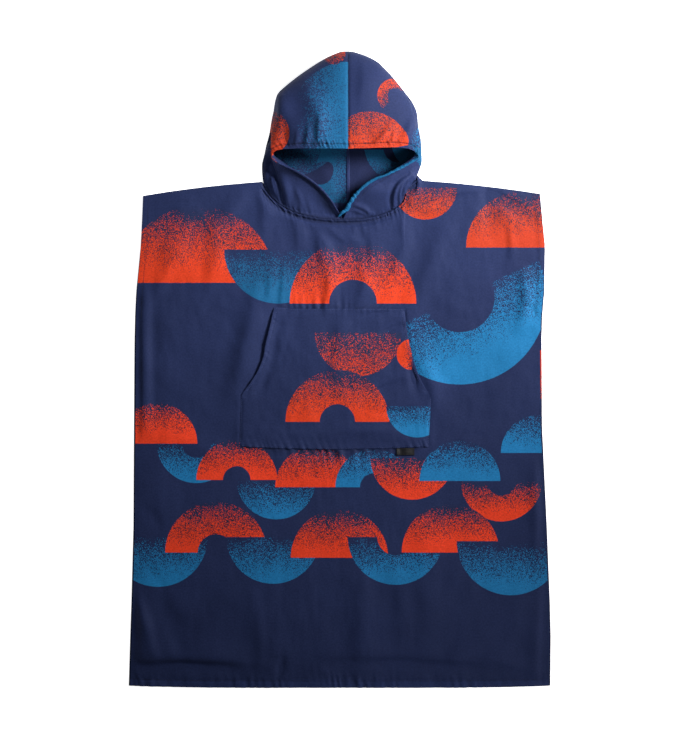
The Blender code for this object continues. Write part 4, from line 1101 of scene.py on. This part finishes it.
def edge_roll(name, line, outward_way, aside, widths):
    """A turned edge that stands open: a closed rope-like roll along a line, resampled in even steps.

    Its section is an oval that narrows to both ends. The radius swells and shrinks with
    the way along and the angle round together, so its creases and fine pleats wind round.
    """
    given_s = arc_lengths(line)
    s = np.arange(0, given_s[-1], ROLL_STEP)
    line, outward_way, aside = (resampled(rows, given_s, s)[:, None] for rows in (line, outward_way, aside))
    share = s / s[-1]
    half_width = np.interp(share, np.linspace(0, 1, len(widths)), widths)[:, None]
    taper = (np.minimum(share / 0.10, 1) * np.minimum((1 - share) / 0.06, 1))[:, None] ** 0.5
    angle = np.arange(ROLL_SIDES) * 2 * np.pi / ROLL_SIDES
    wound = s[:, None] + 0.006 * angle / (2 * np.pi)
    pleats = np.sin(2 * np.pi * wound / 0.0042 + 2 * puckered(wound, 0.017, 0.4))
    radius = half_width * (0.08 + taper * (1 + 0.36 * puckered(wound, 0.0125, 1.9) + 0.08 * pleats))
    sideways, out = (radius * np.cos(angle))[..., None], (ROLL_FLATNESS * radius * np.sin(angle))[..., None]
    grid = line + aside * sideways + outward_way * out
    corner = np.arange(len(s) * ROLL_SIDES).reshape(-1, ROLL_SIDES)
    beyond = np.roll(corner, -1, axis=1)
    quads = np.stack([corner[:-1], beyond[:-1], beyond[1:], corner[1:]], -1).reshape(-1, 4)
    mesh = bpy.data.meshes.new(name)
    caps = [corner[0, ::-1].tolist(), corner[-1].tolist()]
    mesh.from_pydata(grid.reshape(-1, 3), [], quads.tolist() + caps)
    layer = mesh.uv_layers.new(name="cloth")
    places = np.stack(np.broadcast_arrays(s[:, None], ROLL_CUT_Y + angle * 0.003), -1).reshape(-1, 2)
    corners = np.empty(len(mesh.loops), np.int32)
    mesh.loops.foreach_get("vertex_index", corners)
    layer.data.foreach_set("uv", places[corners].astype(np.float32).reshape(-1))
    edges = bmesh.new()
    edges.from_mesh(mesh)
    bmesh.ops.recalc_face_normals(edges, faces=edges.faces)
    edges.to_mesh(mesh)
    edges.free()
    mesh.shade_smooth()
    return placed(name, mesh)


hood_halves = {}
for side, sign in (("left", 1.0), ("right", -1.0)):
    t = even_rows(side, 160)
    grid = hood_surface(side, t)
    x, y, z = grid[..., 0], grid[..., 1], grid[..., 2]
    normal = outward(grid, sign)
    in_front = np.arange(grid.shape[1]) > FIRST_FRONT
    from_edge, along_edge = from_line(grid, grid[:, -1])
    lift, painted_shading = hood_relief(side, sign, t, grid, from_edge, along_edge)
    lift *= eased(t / 0.035)[:, None] * in_front
    # Behind, the cloth inside the hood lies in low waves, which fade out at its seam.
    behind = ~in_front * eased((t - 0.05) / 0.1)[:, None] * eased(np.arange(grid.shape[1]) / 5.0)
    inner_wave = 0.0012 * (1 + puckered(x + 0.2 * y, 0.055, 0.9 * sign)) * behind * eased((0.012 - z) / 0.010)
    outer = grid + normal * lift[..., None]
    outer[-1, :, 0] = outer[:, 0, 0] = SEAM_X - sign * HALVES_GAP / 2
    outer[..., 2] = np.maximum(outer[..., 2], 0) + inner_wave
    # The cut: what turns behind unrolls past the side fold.
    fold_x = x[:, FIRST_FRONT:FIRST_FRONT + 1]
    flat = np.stack([np.where(in_front, x, 2 * fold_x - x), y], -1)
    half = cloth_wall("hood_cloth_" + side, outer, outer - normal * CLOTH, flat, painted_shading * in_front)
    half.data.materials.append(printed_towelling(side + " hood towelling", HOOD_MOTIFS[side]))
    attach(half, "root")
    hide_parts("hood_" + side)

    # The face opening's turned edge. On the right flap it has flopped open and shows its inside.
    flap = (t > ROLL_T[0]) & (t < ROLL_T[1])
    edge, up = outer[flap, -1], normal[flap, -1]
    aside = unit(np.cross(np.gradient(edge, axis=0), up) * sign)
    middle = edge + aside * HOOD_LIE[side]["roll aside"] + up * 0.0006
    if side == "left":
        length = arc_lengths(middle)[-1]
        end_sun = ("side sun", ORANGE_PAINTED_DARK, length, ROLL_CUT_Y, 0.020, 0, -1.0, 0.0, -1.4, 1.6)
        roll_finish = printed_towelling("left edge towelling", (end_sun,))
    else:
        foot = np.array([(-0.0024, 0.2946, 0.0100), (0.0012, 0.2978, 0.0122), (0.0050, 0.3022, 0.0145)])
        above = middle[:, 1] > 0.3060
        middle = np.concatenate([foot, middle[above]])
        aside, up = (ways[above] for ways in (aside, up))
        aside, up = (np.concatenate([np.repeat(ways[:1], len(foot), axis=0), ways]) for ways in (aside, up))
        roll_finish = printed_towelling("right edge towelling", (), BLUE_PAINTED_DARK)
    roll = edge_roll(side + "_turned_edge", middle, up, aside, HOOD_LIE[side]["roll widths"])
    roll.data.materials.append(roll_finish)
    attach(roll, "root")

    # One row of stitches round the opening, on the hem's inner side.
    front_columns = np.arange(FIRST_FRONT + 1, grid.shape[1])
    inset = HOOD_HEM - EDGE_STITCH
    place = np.array([np.interp(-inset, -row[front_columns], front_columns) for row in from_edge])
    low = np.floor(place).astype(int)
    part = (place - low)[:, None]
    rows = np.arange(len(t))
    line = outer[rows, low] * (1 - part) + outer[rows, np.minimum(low + 1, grid.shape[1] - 1)] * part
    used = (t > STITCHED_T[0]) & (t < STITCHED_T[1])
    stitches = stitch_rows(side + "_hood_stitches", ((line[used], normal[rows, low][used]),), THREAD)
    hood_halves[side] = (half, [roll, stitches])

# The seam down the back of the hood: its allowance is pressed to both sides and lies inside.
SEAM_HALF_WIDTH = 0.0032
seam_y = hood_curves("left", np.linspace(0.0, 0.97, 120), (7,))
across = np.array([-1.0, -0.8, -0.3, 0.0, 0.3, 0.8, 1.0])
seam_x = SEAM_X + SEAM_HALF_WIDTH * across + 0.0003 * puckered(seam_y, 0.012, 0.7)
seam_y = np.broadcast_to(seam_y, seam_x.shape)
seam_z = CLOTH + SEAM_GAP + 0.0002 * (1 + puckered(seam_y, 0.010, 0.3))
seam_top = seam_z + 0.9 * CLOTH * (1 - 0.6 * np.abs(across) ** 4)
allowance = laid_cloth("back_seam_allowance", seam_x, seam_y, seam_top, seam_z, cut_x=seam_x + 0.6)
allowance.data.materials.append(printed_towelling("seam allowance towelling", ()))
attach(allowance, "root")
hood_halves["left"][1].append(allowance)


# Hand pocket.
# A wide pocket of the same towelling, sewn on along its top, its foot and its short
# upright sides. Its two slanting mouths are hemmed, and stand a little open.

POCKET_LIFT, MOUTH_LIFT, MOUTH_HEM = 0.0020, 0.0037, 0.0058
MOUTH_HEIGHT = 0.168
MOUTH_SLANT = 0.9  # a mouth's distance across its slant, as a share of the distance along x
STITCH_INSET = 0.0022  # of the stitches along the pocket's top and foot

POCKET_FOLDS = (
    # name, x and y of one end, x and y of the other, bow, width right or above, width left or below, height
    ("middle drape", -0.001, 0.090, -0.005, 0.010, 0.002, 0.026, 0.013, 0.0026),
    ("left swell", -0.052, 0.085, -0.060, -0.030, 0.004, 0.040, 0.036, 0.0025),
    ("left mouth hollow", -0.118, 0.086, -0.130, 0.010, -0.002, 0.009, 0.010, -0.0031),
    ("left mouth lower hollow", -0.138, -0.004, -0.152, -0.040, 0.000, 0.008, 0.009, -0.0025),
    ("right top crease", 0.0454, 0.104, 0.113, 0.1177, 0.002, 0.005, 0.006, -0.0027),
    ("right upper crease", 0.084, 0.070, 0.1226, 0.088, 0.002, 0.005, 0.006, -0.0030),
    ("right middle crease", 0.0492, -0.053, 0.1168, -0.0232, 0.002, 0.006, 0.007, -0.0032),
    ("right lower crease", 0.0782, -0.083, 0.1364, -0.0772, -0.002, 0.005, 0.006, -0.0020),
    ("right mouth hollow", 0.136, 0.004, 0.146, -0.034, 0.002, 0.006, 0.009, -0.0034),
    ("foot slope", -0.130, -0.126, 0.150, -0.128, 0.002, 0.012, 0.010, 0.0010),
    ("foot slope, right", 0.010, -0.116, 0.100, -0.118, 0.002, 0.012, 0.009, 0.0025),
)
POCKET_MOTIFS = (
    # name, ink, x, y, radius, turn, cut, hole, solid, bare
    ("upper spray", ORANGE, 0.036, 0.072, 0.084, 180, 0.0, 0.0, 2.2, -0.35),
    ("lower sun", ORANGE, -0.004, -0.100, 0.100, 0, 0.0, 0.34, 0.05, 1.05),
    ("corner bowl", BLUE, 0.150, -0.070, 0.060, 180, 0.0, 0.0, 0.75, -0.2),
    ("mouth spray", ORANGE, 0.140, 0.030, 0.030, 90, 0.0, 0.0, 0.7, -0.5),
)


def pocket_under(x, y):
    """Height of the pocket's underside: the front's face, with the slack, open mouths, folds and puckers."""
    left, right, top, foot = pocket_side(y, 2), pocket_side(y, 3), pocket_top(x), pocket_foot(x)
    across = np.clip((x - left) / (right - left), 0, 1)
    down = np.clip((top - y) / (top - foot), 0, 1)
    down_mouth = np.clip((POCKET_TOP - y) / MOUTH_HEIGHT, 0, 1)
    from_mouth = np.minimum(across, 1 - across)
    slack = POCKET_LIFT * np.sin(np.pi * down) * np.sin(np.pi * across) ** 0.5
    gape = np.where(across < 0.5, MOUTH_LIFT, 0.6 * MOUTH_LIFT)
    gape = gape * np.sin(np.pi * down_mouth**0.65) ** 0.8 * bell(from_mouth, 0.13)
    z = front_top(x, y) + SEAM_GAP + np.maximum(slack, gape)
    inside = eased(down / 0.04) * eased((1 - down) / 0.04) * eased(from_mouth / 0.03)
    z += folded(x, y, POCKET_FOLDS) * inside
    off_mouth = from_mouth * (right - left) * MOUTH_SLANT
    on_mouth = eased((down_mouth - 0.03) / 0.05) * eased((0.97 - down_mouth) / 0.05)
    z += HEM_RAISE * turned(off_mouth, MOUTH_HEM) * on_mouth
    pull = np.where(across < 0.5, 0.00125, 0.00075)
    along = y + 4 * np.sign(across - 0.5)
    z += stitch_pull(off_mouth - MOUTH_HEM + EDGE_STITCH, along, 0.0072, 0.9, pull, 0.0050, 0.9) * on_mouth
    z += 0.0025 * np.abs(puckered(x + 0.4 * y, 0.024, 1.7)) * np.exp(-np.maximum(y - foot, 0) / 0.011)
    return z + 0.0012 * np.abs(puckered(x, 0.021, 0.2)) * np.exp(-np.maximum(top - y, 0) / 0.010)


def pocket_thickness(x, y):
    """Thickness of the pocket's cloth: its sewn edges are turned in and pressed, and thin out to little."""
    from_foot = np.minimum(pocket_top(x) - y, y - pocket_foot(x)) / 0.0025
    from_side = np.minimum(x - pocket_side(y, 2), pocket_side(y, 3) - x) + 0.02 * eased((y + 0.056) / 0.008)
    return CLOTH * (0.08 + 0.92 * eased(np.minimum(from_foot, from_side / 0.0070)) ** 0.7)


levels = spaced((POCKET_TOP, 0.108, 7), (0.108, -0.130, 84), (-0.130, POCKET_FOOT, 14))[:, None]
shares = spaced((0, 0.05, 14), (0.05, 0.95, 124), (0.95, 1, 14))
left, right = pocket_side(levels, 2), pocket_side(levels, 3)
pocket_x = left + (right - left) * shares
share_down = (POCKET_TOP - levels) / (POCKET_TOP - POCKET_FOOT)
pocket_y = pocket_top(pocket_x) * (1 - share_down) + pocket_foot(pocket_x) * share_down
pocket_z = pocket_under(pocket_x, pocket_y)
pocket_face = pocket_z + pocket_thickness(pocket_x, pocket_y)
pocket = laid_cloth("pocket_cloth_piece", pocket_x, pocket_y, pocket_face, pocket_z)
pocket.data.materials.append(printed_towelling("pocket towelling", POCKET_MOTIFS))
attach(pocket, "root")
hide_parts("hand_pocket")

top_x, foot_x = np.linspace(-0.123, 0.122, 130), np.linspace(-0.189, 0.168, 180)
rows = [(top_x, pocket_top(top_x) - STITCH_INSET), (foot_x, pocket_foot(foot_x) + STITCH_INSET)]
mouth_y, upright_y = np.linspace(0.112, -0.044, 90), np.linspace(-0.052, -0.144, 50)
for inset, row_y in ((MOUTH_HEM / MOUTH_SLANT - EDGE_STITCH, mouth_y), (0.0012, upright_y)):
    rows += [(pocket_side(row_y, 2) + inset, row_y), (pocket_side(row_y, 3) - inset, row_y)]
pocket_stitches = stitch_rows(
    "pocket_stitches",
    [row_on(x, y, pocket_under(x, y) + pocket_thickness(x, y)) for x, y in rows],
    thread_finish("pocket thread", (0.034, 0.050, 0.140)),
    thick=0.00032,
)


# Tab.
# A short woven ribbon, black and plain, caught in the pocket's foot seam.

TAB_LEFT, TAB_WIDTH, TAB_LENGTH = 0.1105, 0.0340, 0.0133
TAB_TOP = pocket_foot(np.array(0.1275)) - 0.0003


def ribbon_finish():
    """Black satin ribbon: close ribs across it, with a selvedge that is a little duller and woven tighter."""
    finish, tree, sockets = new_finish("black ribbon", 0.2)
    place = step(tree, "ShaderNodeTexCoord", output=3)
    along, across = (step(tree, "ShaderNodeSeparateXYZ", (place,), output=way) for way in (0, 1))
    from_middle = maths(tree, "ABSOLUTE", maths(tree, "SUBTRACT", across, TAB_TOP - TAB_LENGTH / 2))
    selvedge = ranged(tree, from_middle, TAB_LENGTH / 2 - 0.0014, TAB_LENGTH / 2 - 0.0009)
    ribs = maths(tree, "SINE", maths(tree, "MULTIPLY", along, 2 * np.pi / 0.0006))
    cords = maths(tree, "SINE", maths(tree, "MULTIPLY", across, 2 * np.pi / 0.0004))
    cords = maths(tree, "MULTIPLY", selvedge, cords)
    weave = maths(tree, "MULTIPLY", maths(tree, "ADD", ribs, cords), 0.00003)
    fleck = ranged(tree, noise(tree, place, 0.0012, 2.0), 0.3, 0.7)
    black = mixed(tree, fleck, (0.005, 0.005, 0.006, 1), (0.011, 0.011, 0.013, 1))
    tree.links.new(black, sockets["Base Color"])
    tree.links.new(ranged(tree, selvedge, 0, 1, 0.42, 0.60), sockets["Roughness"])
    tree.links.new(step(tree, "ShaderNodeBump", (0.9, 1.0, None, weave)), sockets["Normal"])
    return finish


tab_x, tab_y = np.meshgrid(
    np.linspace(TAB_LEFT, TAB_LEFT + TAB_WIDTH, 30), np.linspace(TAB_TOP, TAB_TOP - TAB_LENGTH, 16)
)
tab_z = front_top(tab_x, tab_y) + 2 * SEAM_GAP + 0.0008 * eased((TAB_TOP - tab_y) / TAB_LENGTH)
tab = laid_cloth("tab_piece", tab_x, tab_y, tab_z + CLOTH, tab_z)
tab.data.materials.append(ribbon_finish())
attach(tab, "root")
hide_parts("tab")


# Floor, lights and camera.
# A plain white floor, itself faintly lit, under a soft key light from the upper right, two
# weak fills on the lower half and the hood, and an even sky. The camera looks straight down.

FLOOR_REACH = 6.0  # from the middle to each side
CAMERA_HEIGHT = 4.0
PICTURE_HEIGHT = 1.4475  # what the camera's frame covers on the floor, from top to bottom
SENSOR = 36.0

mesh = bpy.data.meshes.new("floor")
corners = [(FLOOR_REACH * i, FLOOR_REACH * j, 0) for i, j in ((-1, -1), (1, -1), (1, 1), (-1, 1))]
mesh.from_pydata(corners, [], [(0, 1, 2, 3)])
floor = placed("floor", mesh)
white, _tree, white_inputs = new_finish("white floor", 0.1)
white_inputs["Base Color"].default_value = (0.93, 0.93, 0.93, 1)
white_inputs["Roughness"].default_value = 0.9
white_inputs["Emission Color"].default_value = (1, 1, 1, 1)
white_inputs["Emission Strength"].default_value = 0.90
floor.data.materials.append(white)

world = bpy.data.worlds.new("studio")
world.use_nodes = True
sky = world.node_tree.nodes["Background"].inputs
sky["Color"].default_value = (0.94, 0.97, 1.0, 1)
sky["Strength"].default_value = 0.15
bpy.context.scene.world = world


def soft_light(name, place, target, size, spread, power, colour):
    """A square soft light with a grid that narrows its beam."""
    lamp = bpy.data.lights.new(name, "AREA")
    lamp.size = size
    lamp.spread = np.radians(spread)
    lamp.energy = power
    lamp.color = colour
    made = placed(name, lamp)
    made.location = place
    made.rotation_euler = (Vector(target) - Vector(place)).to_track_quat("-Z", "Y").to_euler()


soft_light("key", (1.6, 0.85, 1.2), (0.1, 0.36, 0.0), 0.6, 50, 9.5, (1.0, 0.985, 0.97))
soft_light("low fill", (1.30, -1.00, 1.30), (0.33, -0.60, 0.0), 0.6, 24, 0.5, (1.0, 0.985, 0.97))
soft_light("hood fill", (-0.35, -0.95, 1.35), (0.0, 0.48, 0.03), 0.5, 16, 0.28, (0.97, 0.985, 1.0))

camera = bpy.data.cameras.new("camera")
camera.sensor_width = SENSOR
camera.lens = SENSOR * CAMERA_HEIGHT / PICTURE_HEIGHT
camera.clip_end = 30
eye = placed("camera", camera)
eye.location = (0.001, -0.0097, CAMERA_HEIGHT)
bpy.context.scene.camera = eye
bpy.context.scene.view_settings.view_transform = "Standard"
